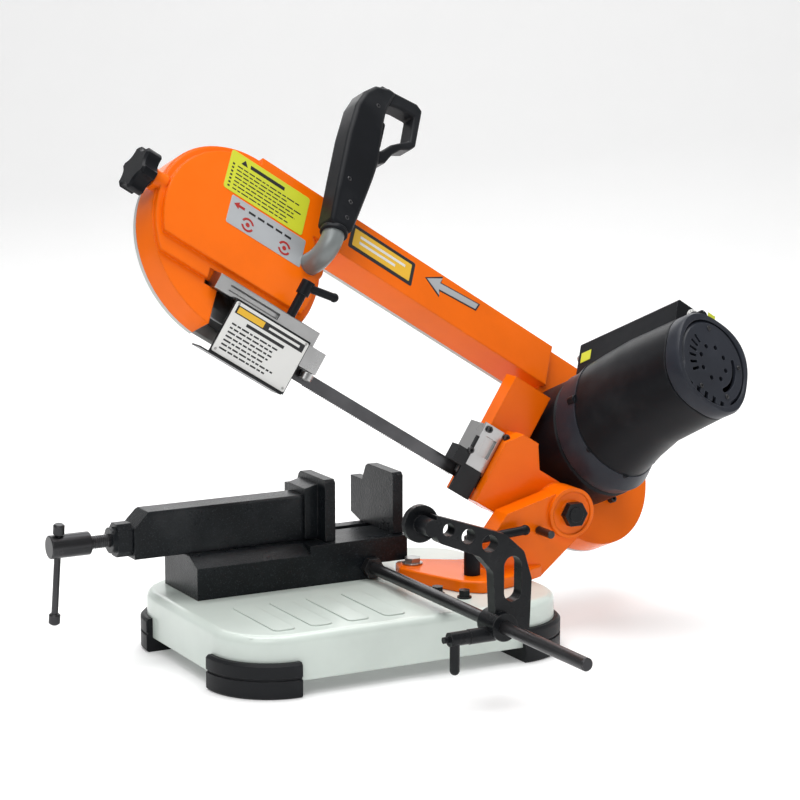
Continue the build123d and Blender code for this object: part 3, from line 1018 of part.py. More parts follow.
# ---------------------------------------------------------------- write the nodes
def main():
    os.makedirs("parts", exist_ok=True)
    nodes = {
        "base_tray": [base_tray()],
        "rubber_feet": rubber_feet(),
        "vise_bed": [vise_bed()],
        "bed_screws": base_bolts(),
        "fixed_jaw": [fixed_jaw()],
        "fixed_jaw_bolt": [jaw_bolt()],
        "spindle_nut": [spindle_nut()],
        "stop_rod": [stop_rod()],
        "stop_rod_nut": [stop_rod_nut()],
        "mitre_pivot_bolt": [mitre_bolt()],
        "mitre_stop_bolts": mitre_stops(),
        "vise_slide": [vise_slide()],
        "moving_jaw": [moving_jaw()],
        "vise_gib": [vise_gib()],
        "thrust_collar": [thrust_collar()],
        "vise_spindle": [vise_spindle()],
        "tommy_bar": [tommy_bar()],
        "tommy_bar_knobs": tommy_bar_knobs(),
        "stop_arm": [stop_arm()],
        "stop_lock_lever": [stop_lock_lever()],
        "swivel_arm": [swivel_arm()],
        "mitre_lock_lever": [mitre_lock_lever()],
        "pivot_shaft": [pivot_shaft()],
        "pivot_nut": [pivot_nut()],
        "depth_stop_pin": [depth_stop_pin()],
        "bow_frame": [bow_frame()],
        "back_cover": [back_cover()],
        "back_cover_knobs": cover_knobs(),
        "drive_wheel": [drive_wheel()],
        "idler_wheel": [idler_wheel()],
        "idler_bearing": [idler_bearing()],
        "idler_carrier": [idler_carrier()],
        "tension_knob": [tension_knob()],
        "blade": [blade()],
        "right_guide_block": [right_guide()],
        "right_guide_bearings": right_rollers(),
        "right_blade_guard": [right_guard()],
        "guide_bar": [guide_bar()],
        "left_guide_block": [left_guide()],
        "left_guide_bearings": left_rollers(),
        "left_blade_guard": [left_guard()],
        "guide_lock_lever": [guide_lock_lever()],
        "handle_tube": [handle_tube()],
        "grip_front": [grip_shell(1)],
        "grip_back": [grip_shell(-1)],
        "grip_screws": grip_screws(),
        "trigger": [trigger()],
        "gearbox_housing": [gearbox_housing()],
        "gearbox_bearing_plate": [gearbox_plate()],
        "drive_shaft": [drive_shaft()],
        "shaft_bearings": [drive_bearing(), *motor_bearings()],
        "final_gear": [final_gear()],
        "layshaft": [layshaft()],
        "motor_rotor": [motor_rotor()],
        "motor_stator": [motor_stator()],
        "motor_housing": [motor_housing()],
        "motor_end_cap": [motor_end_cap()],
        "speed_dial": [speed_dial()],
        "indicator_lenses": indicator_lenses(),
        "return_spring": [return_spring()],
    }
    for name, pieces in nodes.items():
        save(name, *pieces)


if __name__ == "__main__":
    main()
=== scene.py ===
import bpy
import bmesh
import json
import math
import random
from mathutils import Matrix, Vector


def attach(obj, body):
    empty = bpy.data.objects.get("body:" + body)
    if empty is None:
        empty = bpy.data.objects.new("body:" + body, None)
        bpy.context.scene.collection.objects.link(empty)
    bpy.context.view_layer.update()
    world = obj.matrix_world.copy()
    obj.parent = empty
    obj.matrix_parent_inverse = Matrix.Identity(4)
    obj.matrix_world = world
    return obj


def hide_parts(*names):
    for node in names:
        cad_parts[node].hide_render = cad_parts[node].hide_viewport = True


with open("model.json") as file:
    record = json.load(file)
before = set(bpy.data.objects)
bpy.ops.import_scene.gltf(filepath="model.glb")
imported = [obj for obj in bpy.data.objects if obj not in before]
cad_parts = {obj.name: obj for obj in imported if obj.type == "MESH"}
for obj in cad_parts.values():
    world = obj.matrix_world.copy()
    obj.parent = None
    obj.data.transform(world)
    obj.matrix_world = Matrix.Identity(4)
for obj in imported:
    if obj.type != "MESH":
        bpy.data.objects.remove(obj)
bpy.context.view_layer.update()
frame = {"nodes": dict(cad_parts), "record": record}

MM = 0.001
QUARTER = math.radians(90)
JOINTS = {joint["name"]: joint for joint in frame["record"]["behaviour"]["joints"]}

# The bow's frame starts on its hinge, with X along the blade. The bow is level at the hinge's limit.
RAISE = math.radians(JOINTS["bow_pivot"]["range_deg"][1])
BOW = Matrix.Translation(JOINTS["bow_pivot"]["pos_m"]) @ Matrix.Rotation(RAISE, 4, "Y")

# The wheels' frame has its XY plane through the middle of both wheels, which lean over from upright.
LEAN = math.radians(60.0)
DRIVE_IN_BOW = BOW.inverted() @ Vector(JOINTS["drive_spin"]["pos_m"])
WHEELS = (BOW @ Matrix.Translation((0.0, DRIVE_IN_BOW.y, DRIVE_IN_BOW.z))
          @ Matrix.Rotation(LEAN, 4, "X"))


# ---------------------------------------------------------------- materials
def noise(nodes, links, vector, scale, detail=6.0, rough=0.55):
    """Value of a noise texture over a vector socket."""
    node = nodes.new("ShaderNodeTexNoise")
    node.inputs["Scale"].default_value = scale
    node.inputs["Detail"].default_value = detail
    node.inputs["Roughness"].default_value = rough
    links.new(vector, node.inputs["Vector"])
    return node.outputs["Fac"]


def ramp(nodes, links, value, stops):
    """Colour ramp; each stop is a place and a grey level or a colour."""
    node = nodes.new("ShaderNodeValToRGB")
    while len(node.color_ramp.elements) < len(stops):
        node.color_ramp.elements.new(0.5)
    for element, (place, shade) in zip(node.color_ramp.elements, stops):
        element.position = place
        element.color = (shade, shade, shade, 1) if isinstance(shade, float) else (*shade, 1)
    links.new(value, node.inputs["Fac"])
    return node.outputs["Color"]


def mix(nodes, links, factor, a, b):
    """Colour mix by a factor socket, from socket a to b, which is a colour or a socket."""
    factor_in, a_in, b_in, colour_out = 0, 6, 7, 2
    node = nodes.new("ShaderNodeMix")
    node.data_type = "RGBA"
    links.new(factor, node.inputs[factor_in])
    for socket, value in ((node.inputs[a_in], a), (node.inputs[b_in], b)):
        if isinstance(value, tuple):
            socket.default_value = (*value, 1)
        else:
            links.new(value, socket)
    return node.outputs[colour_out]


def times(nodes, links, a, factor, plus=0.0):
    """Socket a times a number, plus a number."""
    node = nodes.new("ShaderNodeMath")
    node.operation = "MULTIPLY_ADD"
    links.new(a, node.inputs[0])
    node.inputs[1].default_value = factor
    node.inputs[2].default_value = plus
    return node.outputs[0]


def edge_wear_and_highlight(nodes, links, radius, vector):
    """Mask that is 1 on outer edges, broken up by noise; it carries edge wear, and on the orange paint a
    painted highlight.
    """
    bevel = nodes.new("ShaderNodeBevel")
    bevel.samples = 4
    bevel.inputs["Radius"].default_value = radius
    geometry = nodes.new("ShaderNodeNewGeometry")
    dot = nodes.new("ShaderNodeVectorMath")
    dot.operation = "DOT_PRODUCT"
    links.new(bevel.outputs["Normal"], dot.inputs[0])
    links.new(geometry.outputs["Normal"], dot.inputs[1])
    edge = ramp(nodes, links, dot.outputs["Value"], [(0.80, 1.0), (0.97, 0.0)])
    broken = ramp(nodes, links, noise(nodes, links, vector, 160.0), [(0.42, 0.0), (0.58, 1.0)])
    node = nodes.new("ShaderNodeMath")
    node.operation = "MULTIPLY"
    links.new(edge, node.inputs[0])
    links.new(broken, node.inputs[1])
    return node.outputs[0]


def material(name, base, rough, metal=0.0, vary=0.06, grain=(300.0, 0.02), wear_and_highlight=None, wear_and_highlight_share=0.5,
             coat=0.0, stretch=None, speckle=None, round_edges=0.0008, clear=0.0, rough_vary=0.12,
             dust=0.0, shine=0.5):
    """Procedural surface: uneven colour and gloss, fine grain in the relief, worn edges, which on the
    orange paint are a painted highlight.

    Grain is its scale and its height in millimetres; speckle is its scale, colour and how rare it is.
    """
    mat = bpy.data.materials.new(name)
    mat.use_nodes = True
    nodes, links = mat.node_tree.nodes, mat.node_tree.links
    shader = nodes["Principled BSDF"]
    coords = nodes.new("ShaderNodeTexCoord").outputs["Object"]
    if stretch:
        mapping = nodes.new("ShaderNodeMapping")
        mapping.inputs["Scale"].default_value = stretch
        links.new(coords, mapping.inputs["Vector"])
        fine_vector = mapping.outputs["Vector"]
    else:
        fine_vector = coords
    cloud = noise(nodes, links, coords, 14.0, 5.0)
    dark = tuple(c * (1 - 2.2 * vary) for c in base)
    light = tuple(min(1.0, c * (1 + 1.4 * vary) + 0.1 * vary) for c in base)
    colour = ramp(nodes, links, cloud, [(0.32, dark), (0.52, base), (0.74, light)])
    if speckle:
        size, tint, share = speckle
        spots = ramp(nodes, links, noise(nodes, links, coords, size, 2.0),
                     [(share, 0.0), (share + 0.05, 1.0)])
        colour = mix(nodes, links, spots, colour, tint)
    if dust:
        geometry = nodes.new("ShaderNodeNewGeometry")
        split = nodes.new("ShaderNodeSeparateXYZ")
        links.new(geometry.outputs["Normal"], split.inputs[0])
        up = ramp(nodes, links, split.outputs["Z"], [(0.55, 0.0), (1.0, 1.0)])
        film = nodes.new("ShaderNodeMath")
        film.operation = "MULTIPLY"
        links.new(up, film.inputs[0])
        links.new(times(nodes, links, noise(nodes, links, coords, 40.0), dust), film.inputs[1])
        colour = mix(nodes, links, film.outputs[0], colour, (0.42, 0.40, 0.37))
    gloss_noise = noise(nodes, links, coords, 45.0)
    roughness = times(nodes, links, gloss_noise, rough_vary * 2, rough - rough_vary)
    # Lighter colour on outer edges: wear, and on the orange paint a painted highlight.
    if wear_and_highlight:
        mask = times(nodes, links, edge_wear_and_highlight(nodes, links, 0.0016, coords), wear_and_highlight_share)
        colour = mix(nodes, links, mask, colour, wear_and_highlight)
    links.new(colour, shader.inputs["Base Color"])
    links.new(roughness, shader.inputs["Roughness"])
    shader.inputs["Metallic"].default_value = metal
    shader.inputs["Coat Weight"].default_value = coat
    shader.inputs["Coat Roughness"].default_value = 0.12
    shader.inputs["Specular IOR Level"].default_value = shine
    if clear:
        shader.inputs["Transmission Weight"].default_value = clear
        shader.inputs["IOR"].default_value = 1.49
    scale, height = grain
    bump = nodes.new("ShaderNodeBump")
    bump.inputs["Strength"].default_value = 1.0
    bump.inputs["Distance"].default_value = height * MM
    links.new(noise(nodes, links, fine_vector, scale, 4.0, 0.6), bump.inputs["Height"])
    bevel = nodes.new("ShaderNodeBevel")
    bevel.samples = 4
    bevel.inputs["Radius"].default_value = round_edges
    links.new(bevel.outputs["Normal"], bump.inputs["Normal"])
    links.new(bump.outputs["Normal"], shader.inputs["Normal"])
    return mat


# One look for each material slot of the record.
SLOT_LOOKS = {
    # The orange paint's light salmon edge colour is a painted highlight along its rounded edges.
    "orange_paint": dict(base=(0.93, 0.155, 0.001), rough=0.24, vary=0.03, grain=(220.0, 0.05),
        wear_and_highlight=(0.9, 0.3, 0.06), wear_and_highlight_share=0.3, coat=0.05, round_edges=0.0022, rough_vary=0.05,
        shine=0.16),
    "base_paint": dict(base=(0.64, 0.71, 0.66), rough=0.32, vary=0.03, grain=(260.0, 0.05),
        wear_and_highlight=(0.78, 0.78, 0.74), wear_and_highlight_share=0.3, coat=0.25, round_edges=0.0015, rough_vary=0.06),
    "black_casting": dict(base=(0.006, 0.0078, 0.01), rough=0.3, vary=0.2, grain=(420.0, 0.4),
        wear_and_highlight=(0.1, 0.1, 0.1), wear_and_highlight_share=0.35, coat=0.05, round_edges=0.0014,
        speckle=(900.0, (0.022, 0.026, 0.03), 0.6), shine=0.18),
    "black_paint": dict(base=(0.008, 0.009, 0.011), rough=0.35, vary=0.1, grain=(400.0, 0.05),
        wear_and_highlight=(0.1, 0.1, 0.1), coat=0.05, shine=0.25),
    "steel": dict(base=(0.46, 0.46, 0.46), rough=0.3, metal=1.0, vary=0.08, grain=(90.0, 0.03),
        stretch=(1, 1, 14), wear_and_highlight=(0.7, 0.7, 0.69), round_edges=0.0006),
    "dark_steel": dict(base=(0.045, 0.045, 0.048), rough=0.33, metal=0.75, vary=0.12,
        grain=(300.0, 0.05), wear_and_highlight=(0.2, 0.2, 0.2), round_edges=0.0006),
    "zinc": dict(base=(0.42, 0.42, 0.41), rough=0.32, metal=0.9, vary=0.08, grain=(260.0, 0.03),
        wear_and_highlight=(0.7, 0.7, 0.7)),
    "rubber": dict(base=(0.008, 0.009, 0.011), rough=0.46, vary=0.1, grain=(600.0, 0.08),
        wear_and_highlight=(0.05, 0.05, 0.055), round_edges=0.0012, dust=0.03, shine=0.2),
    "black_plastic": dict(base=(0.0068, 0.0078, 0.01), rough=0.4, vary=0.1, grain=(900.0, 0.09),
        wear_and_highlight=(0.05, 0.055, 0.065), wear_and_highlight_share=0.6, round_edges=0.0014, rough_vary=0.08, dust=0.01,
        shine=0.13),
    "cast_aluminium": dict(base=(0.52, 0.53, 0.54), rough=0.42, metal=1.0, vary=0.08,
        grain=(300.0, 0.15)),
    "blade_steel": dict(base=(0.09, 0.09, 0.095), rough=0.34, metal=0.85, vary=0.15,
        grain=(120.0, 0.02), stretch=(1, 1, 12)),
    "cover_sheet": dict(base=(0.55, 0.56, 0.55), rough=0.36, vary=0.05, grain=(300.0, 0.05),
        wear_and_highlight=(0.7, 0.7, 0.7)),
    "clear_plastic": dict(base=(0.8, 0.83, 0.84), rough=0.14, vary=0.02, grain=(500.0, 0.02),
        clear=0.75),
    "bronze": dict(base=(0.5, 0.33, 0.16), rough=0.35, metal=1.0, vary=0.08, grain=(300.0, 0.04)),
    "copper_windings": dict(base=(0.45, 0.19, 0.08), rough=0.4, metal=0.8, vary=0.1, grain=(80.0, 0.4)),
}
# Finer looks, for labels and for nodes that differ from their slot.
FINE_LOOKS = {
    "satin_tube": dict(base=(0.22, 0.24, 0.24), rough=0.4, metal=0.35, vary=0.05, grain=(500.0, 0.04),
        round_edges=0.0004),
    "smooth_black": dict(base=(0.0075, 0.0085, 0.01), rough=0.3, vary=0.1, grain=(350.0, 0.05),
        wear_and_highlight=(0.12, 0.12, 0.12), wear_and_highlight_share=0.5, coat=0.03, shine=0.15),
    "ring_grey": dict(base=(0.022, 0.025, 0.034), rough=0.36, vary=0.1, grain=(700.0, 0.06),
        wear_and_highlight=(0.08, 0.09, 0.11), shine=0.2),
    "label_yellow": dict(base=(0.62, 0.66, 0.03), rough=0.38, vary=0.03, grain=(500.0, 0.01)),
    "label_amber": dict(base=(0.86, 0.5, 0.03), rough=0.34, vary=0.03, grain=(500.0, 0.01)),
    "label_silver": dict(base=(0.5, 0.52, 0.54), rough=0.36, metal=0.35, vary=0.03,
        grain=(500.0, 0.01)),
    "label_ink": dict(base=(0.012, 0.012, 0.014), rough=0.42, vary=0.05, grain=(500.0, 0.01)),
    "label_red": dict(base=(0.42, 0.02, 0.015), rough=0.42, vary=0.05, grain=(500.0, 0.01)),
    "label_white": dict(base=(0.8, 0.8, 0.78), rough=0.42, vary=0.02, grain=(500.0, 0.01)),
}
MATS = {name: material(name, **look) for name, look in SLOT_LOOKS.items()}
FINE = {name: material(name, **look) for name, look in FINE_LOOKS.items()}
NODE_FINISH = {"handle_tube": "satin_tube", "motor_end_cap": "ring_grey"}
for smooth_node in ("stop_arm", "stop_lock_lever", "pivot_nut", "pivot_shaft", "mitre_stop_bolts"):
    NODE_FINISH[smooth_node] = "smooth_black"

for part in frame["record"]["subparts"]:
    node = frame["nodes"].get(part["node"])
    if node is None:
        continue
    node.data.materials.clear()
    finish = NODE_FINISH.get(part["node"])
    node.data.materials.append(FINE[finish] if finish else MATS[part["material_slot"]])


# ---------------------------------------------------------------- mesh helpers
def finish_piece(name, bm, frame_matrix, slot, body, mat=None, bevel=0.0, smooth=True):
    """Turns a bmesh drawn in millimetres in a local frame into a piece riding on a body."""
    bmesh.ops.recalc_face_normals(bm, faces=bm.faces)
    mesh = bpy.data.meshes.new(name)
    bm.to_mesh(mesh)
    bm.free()
    for vertex in mesh.vertices:
        vertex.co = frame_matrix @ (Vector(vertex.co) * MM)
    for face in mesh.polygons:
        face.use_smooth = smooth
    mesh.materials.append(mat or MATS[slot])
    piece = bpy.data.objects.new(name, mesh)
    bpy.context.collection.objects.link(piece)
    if bevel:
        modifier = piece.modifiers.new("bevel", "BEVEL")
        modifier.width = bevel * MM
        modifier.segments = 3
        modifier.limit_method = "ANGLE"
        modifier.angle_limit = math.radians(35)
    if smooth:
        mesh.set_sharp_from_angle(angle=math.radians(35))
    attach(piece, body)
    return piece


def extrude_outline(bm, points, low, high, plane="xy"):
    """Adds a prism: outline points in a plane, between two depths along its normal."""
    def place(a, b, depth):
        """Corner of the prism in local axes."""
        return {"xy": (a, b, depth), "xz": (a, depth, b), "yz": (depth, a, b)}[plane]
    bottom = [bm.verts.new(place(a, b, low)) for a, b in points]
    top = [bm.verts.new(place(a, b, high)) for a, b in points]
    bm.faces.new(bottom)
    bm.faces.new(list(reversed(top)))
    for i in range(len(points)):
        j = (i + 1) % len(points)
        bm.faces.new((bottom[j], bottom[i], top[i], top[j]))


def on_circle(centre, r, degrees):
    """Points at the given angles on a circle."""
    angles = [math.radians(d) for d in degrees]
    return [(centre[0] + r * math.cos(a), centre[1] + r * math.sin(a)) for a in angles]


def arc(centre, r, start, stop, steps):
    """Points along an arc between two angles in degrees, both ends included."""
    return on_circle(centre, r, [start + (stop - start) * i / steps for i in range(steps + 1)])


def rounded(x0, x1, y0, y1, r):
    """Outline of a rectangle with round corners."""
    corners = ((x1 - r, y1 - r, 0), (x0 + r, y1 - r, 90), (x0 + r, y0 + r, 180), (x1 - r, y0 + r, 270))
    points = []
    for cx, cy, start in corners:
        points += arc((cx, cy), r, start, start + 90, 5)
    return points


def circle(centre, r, count=16):
    """Outline of a circle."""
    return on_circle(centre, r, [360 * i / count for i in range(count)])


def lathe(bm, centre, profile, count=32):
    """Adds a turned solid about the local Z axis through centre; profile is (radius, height) pairs."""
    rings = []
    for radius, height in profile:
        if radius <= 0:
            rings.append([bm.verts.new((centre[0], centre[1], centre[2] + height))])
            continue
        rings.append([bm.verts.new((centre[0] + radius * math.cos(2 * math.pi * i / count),
                                    centre[1] + radius * math.sin(2 * math.pi * i / count),
                                    centre[2] + height)) for i in range(count)])
    for low, high in zip(rings, rings[1:]):
        for i in range(count):
            j = (i + 1) % count
            if len(low) == 1:
                bm.faces.new((low[0], high[j], high[i]))
            elif len(high) == 1:
                bm.faces.new((low[i], low[j], high[0]))
            else:
                bm.faces.new((low[i], low[j], high[j], high[i]))


def plate(name, points, low, high, matrix, body, finish, plane="xy"):
    """Thin plate with softened edges, such as a label."""
    bm = bmesh.new()
    extrude_outline(bm, points, low, high, plane)
    finish_piece(name, bm, matrix, None, body, FINE[finish], bevel=0.15, smooth=False)


def flat_print(name, outlines, low, high, matrix, body, finish, plane="xy"):
    """Flat sharp-edged shapes in one piece, such as the marks printed on a label."""
    bm = bmesh.new()
    for points in outlines:
        extrude_outline(bm, points, low, high, plane)
    finish_piece(name, bm, matrix, None, body, FINE[finish], smooth=False)


def bar(x0, x1, y0, y1):
    """Outline of a rectangle."""
    return [(x0, y0), (x1, y0), (x1, y1), (x0, y1)]


def cap_screw(bm, spot, r, h):
    """Cap screw with a hexagon socket, its head's seat at the spot and its top h above that."""
    socket = 0.5 * r
    mouth = h - 0.4
    floor = h * 0.45
    head = [(0, 0), (r, 0), (r, h - 0.3), (r - 0.35, h), (socket * 1.1, h), (socket, mouth)]
    lathe(bm, spot, head, 24)
    lathe(bm, spot, [(socket, mouth), (socket, floor), (0, floor)], 6)


def screws(name, spots, z, matrix, r, h):
    """Cap screws of the bow in one piece, their seats at one height."""
    bm = bmesh.new()
    for x, y in spots:
        cap_screw(bm, (x, y, z), r, h)
    finish_piece(name, bm, matrix, "dark_steel", "bow")


def text_rows(x0, x1, y_top, rows, pitch, height, seed):
    """Rows of short bars that stand for printed lines."""
    gap = 1.4
    outlines = []
    rng = random.Random(seed)
    for row in range(rows):
        x = x0
        end = x1 - rng.uniform(0, 0.3) * (x1 - x0)
        y = y_top - row * pitch
        while x < end:
            width = rng.uniform(3.0, 9.0)
            outlines.append(bar(x, min(x + width, end), y - height, y))
            x += width + gap
    return outlines


# ---------------------------------------------------------------- labels on the bow
# In millimetres in the wheels' frame; a box is left, right, bottom, top.
FACE = 25.0                          # front of the casting above the wheel plane
STICKER = FACE + 0.3                 # top of a label stuck on it
PRINT = 0.12                         # thickness of a printed layer
WARNING_BOX = (-454.0, -357.0, 42.0, 87.0)
TENSION_BOX = (-442.0, -351.0, 8.0, 40.0)
NAME_BOX = (-303.0, -220.0, 63.0, 91.0)


def label_print(name, outlines, finish, base=STICKER):
    """Marks printed on a label of the bow."""
    flat_print(name, outlines, base, base + PRINT, WHEELS, "bow", finish)


def warning_label():
    """Yellow label with a triangle, a heading bar, and rows of bars with their list marks."""
    x0, x1, y0, y1 = WARNING_BOX
    rows, pitch = 7, 4.3
    plate("warning_label", rounded(*WARNING_BOX, 3), FACE, STICKER, WHEELS, "bow", "label_yellow")
    ink = text_rows(x0 + 10, x1 - 5, y1 - 14, rows, pitch, 1.3, 3)
    ink += [bar(x0 + 24, x0 + 66, y1 - 9.5, y1 - 5.5)]
    ink += [bar(x0 + 4, x0 + 6.5, y1 - 15.5 - pitch * i, y1 - 13.5 - pitch * i) for i in range(rows)]
    label_print("warning_label_print", ink, "label_ink")
    triangle = [(x0 + 13, y1 - 10), (x0 + 21, y1 - 10), (x0 + 17, y1 - 4)]
    label_print("warning_label_triangle", [triangle], "label_ink")


def tension_label():
    """Silver label with an arrow, two ring marks for the knob's turn, and a row of bars."""
    x0, x1, y0, y1 = TENSION_BOX
    plate("tension_label", rounded(*TENSION_BOX, 2), FACE, STICKER, WHEELS, "bow", "label_silver")
    marks = [[(x0 + 4, y1 - 8), (x0 + 10, y1 - 12), (x0 + 10, y1 - 9.4), (x0 + 17, y1 - 9.4),
              (x0 + 17, y1 - 6.6), (x0 + 10, y1 - 6.6), (x0 + 10, y1 - 4)]]
    for centre in ((x0 + 24, y0 + 10), (x1 - 22, y0 + 10)):
        for start, stop in ((20, 160), (200, 340)):
            marks.append(arc(centre, 7.5, start, stop, 10) + arc(centre, 5.2, stop, start, 10))
        marks.append(circle(centre, 2.4))
    label_print("tension_label_marks", marks, "label_red")
    ink = [bar(x0 + 22 + 11 * i, x0 + 30 + 11 * i, y1 - 9.2, y1 - 6.8) for i in range(5)]
    label_print("tension_label_print", ink, "label_ink")


def name_label():
    """Amber label in a black border, with two white bars."""
    x0, x1, y0, y1 = NAME_BOX
    border = 4
    field = STICKER + 0.2
    plate("name_label_border", rounded(*NAME_BOX, 2), FACE, STICKER, WHEELS, "bow", "label_ink")
    inside = rounded(x0 + border, x1 - border, y0 + border, y1 - border, 1)
    plate("name_label_field", inside, STICKER, field, WHEELS, "bow", "label_amber")
    ink = [bar(x0 + 12, x1 - 12, y0 + 16.2, y0 + 19.2), bar(x0 + 12, x1 - 24, y0 + 9.5, y0 + 12.5)]
    label_print("name_label_print", ink, "label_white", field)


def arrow_decal():
    """Silver arrow along the beam, that shows the way the blade runs, over a wider black one."""
    edge = FACE + 0.25

    def arrow(m):
        """Outline of the arrow, grown by a margin."""
        return [(-203 - 1.8 * m, 83), (-184, 94 + 1.6 * m), (-186 + m, 87 + m), (-134 + 1.6 * m, 91 + m),
                (-137 + m, 83.5 - m), (-186 + m, 79.5 - m), (-184, 73 - 1.6 * m)]
    plate("arrow_decal_edge", arrow(1.4), FACE, edge, WHEELS, "bow", "label_ink")
    plate("arrow_decal", arrow(0.0), edge, edge + 0.2, WHEELS, "bow", "label_silver")


def rating_plate():
    """Data plate on the front of the sliding guide's guard, drawn in the bow's XZ plane."""
    x0, x1, z0, z1 = -413.0, -326.0, -40.0, 12.0
    back = -9.05
    front = back - 0.7
    first, second = front - PRINT, front - 2 * PRINT
    plate("rating_plate", rounded(x0, x1, z0, z1, 2), front, back, BOW, "guide_arm", "label_white", "xz")

    def printed(name, outlines, low, high, finish):
        """Marks printed on the plate between two depths."""
        flat_print(name, outlines, low, high, BOW, "guide_arm", finish, "xz")
    printed("rating_plate_header", [bar(x0 + 3, x1 - 3, z1 - 11, z1 - 3)], first, front, "label_ink")
    printed("rating_plate_badge", [bar(x0 + 5, x0 + 36, z1 - 10, z1 - 4)], second, first, "label_amber")
    printed("rating_plate_header_print", [bar(x0 + 42, x1 - 8, z1 - 8.2, z1 - 5.8)], second, first,
            "label_white")
    ink = text_rows(x0 + 6, x1 - 18, z1 - 20, 7, 4.2, 1.6, 9)
    ink += [bar(x0 + 20, x1 - 22, z1 - 17, z1 - 14)]
    printed("rating_plate_print", ink, first, front, "label_ink")
    bm = bmesh.new()
    for x in (x0 + 3.2, x1 - 3.2):
        for z in (z0 + 3.2, z1 - 1.6):
            extrude_outline(bm, circle((x, z), 1.3), first - 0.5, front, "xz")
    finish_piece("rating_plate_rivets", bm, BOW, "zinc", "guide_arm", bevel=0.2)


# ---------------------------------------------------------------- gearbox, motor and control box
# In millimetres in the wheels' frame: centres are (u, v), and heights are above the wheel plane.
DRUM = (26, 8)                       # gearbox drum
FLARE = (21, 15)                     # narrow end of the motor shell's flare
CAP = (14, 27)                       # motor's end cap
DIAL = (2, 80)                       # speed dial on the control box
BOX_END = 200.0                      # outer end of the control box


def bow_screws():
    """Screws of the fixed guide, the gearbox flange and the motor's end cap."""
    forward = Matrix.Rotation(QUARTER, 4, "X")
    screws("guide_plate_screws", [(-106, 33), (-84, 35), (-114, 6)], 8.4, BOW @ forward, 3.4, 3.2)
    flange = on_circle(DRUM, 68.5, (178, 212, 296, 330, 0))
    screws("gearbox_flange_bolts", flange, 16.8, WHEELS, 4.2, 6.0)
    cap = on_circle(CAP, 36, (20, 110, 250, 310))
    screws("motor_cap_screws", cap, 221.6, WHEELS, 2.4, 1.6)


def loft(bm, sections):
    """Adds a skin through rounded-square sections; each is (u, v, radius, squareness, height)."""
    count = 72
    rings = []
    for cu, cv, radius, square, height in sections:
        ring = []
        for i in range(count):
            a = 2 * math.pi * i / count
            c, s = math.cos(a), math.sin(a)
            reach = radius / (abs(c) ** square + abs(s) ** square) ** (1 / square)
            ring.append(bm.verts.new((cu + reach * c, cv + reach * s, height)))
        rings.append(ring)
    for low, high in zip(rings, rings[1:]):
        for i in range(count):
            j = (i + 1) % count
            bm.faces.new((low[i], low[j], high[j], high[i]))


def shell(name, outer, wall, mat=None):
    """Moulded sleeve with the given outside sections and wall, closed at both rims."""
    inner = [(u, v, radius - wall, square, height) for u, v, radius, square, height in reversed(outer)]
    bm = bmesh.new()
    loft(bm, outer + inner + outer[:1])
    finish_piece(name, bm, WHEELS, "black_plastic", "bow", mat)


def motor_shroud():
    """Moulded shell round the motor, flared out to the gearbox, with screw pockets in the flare."""
    shell("motor_shroud", [(*FLARE, 59.0, 2.3, 84), (18, 20, 55.5, 2.4, 108), (15, 25, 52.0, 2.5, 140),
                           (*CAP, 50.0, 2.5, 203.6), (*CAP, 49.2, 2.5, 204.6)], 1.8)
    shell("motor_flare", [(25, 9, 63.6, 2.1, 58.2), (25, 9, 63.6, 2.15, 70), (22, 13, 61.0, 2.25, 80),
                          (*FLARE, 59.8, 2.3, 84)], 2.6, FINE["ring_grey"])
    rim = [(49.2, 2.5, 205.4), (50.0, 2.5, 206.4), (49.8, 2.5, 219), (48.0, 2.5, 222.2),
           (44.8, 2.3, 222.6), (43.6, 2.2, 221.6), (44.6, 2.2, 206), (49.2, 2.5, 205.4)]
    bm = bmesh.new()
    loft(bm, [(*CAP, *section) for section in rim])
    finish_piece("motor_cap_rim", bm, WHEELS, "black_plastic", "bow", FINE["ring_grey"])
    spots = on_circle(FLARE, 57.5, (188, 240, 292, 340))
    boss = [(0, 0), (5.6, 0), (5.6, 8), (5.0, 8.6), (3.9, 8.6), (3.9, 4), (0, 4)]
    bm = bmesh.new()
    for spot in spots:
        lathe(bm, (*spot, 76), boss, 28)
    finish_piece("motor_flare_bosses", bm, WHEELS, "black_plastic", "bow")
    screws("motor_flare_screws", spots, 80, WHEELS, 3.1, 2.2)


def control_box_details():
    """Yellow tags at both ends of the control box, and the speed dial's scale."""
    outer = bar(19, 29, 91, 99)
    flat_print("box_tag_outer", [outer], BOX_END, BOX_END + 0.3, WHEELS, "bow", "label_yellow")
    swap_yz = Matrix(((1, 0, 0, 0), (0, 0, 1, 0), (0, 1, 0, 0), (0, 0, 0, 1)))
    inner = [(66, 65), (66, 77), (80, 77), (80, 65)]
    flat_print("box_tag_inner", [inner], -23.4, -23.0, WHEELS @ swap_yz, "bow", "label_yellow", "yz")
    disc_top = 0.6
    bm = bmesh.new()
    lathe(bm, (*DIAL, BOX_END), [(0, 0), (11, 0), (11, 0.4), (10.6, disc_top), (0, disc_top)], 48)
    finish_piece("dial_scale_disc", bm, WHEELS, None, "bow", FINE["label_white"])
    ticks = []
    for i in range(11):
        a = math.radians(-40 + 26 * i)
        c, s = math.cos(a), math.sin(a)
        corners = ((8.8, -0.25), (10.4, -0.25), (10.4, 0.25), (8.8, 0.25))
        ticks.append([(DIAL[0] + r * c - w * s, DIAL[1] + r * s + w * c) for r, w in corners])
    scale = BOX_END + disc_top
    flat_print("dial_scale_marks", ticks, scale, scale + 0.1, WHEELS, "bow", "label_ink")


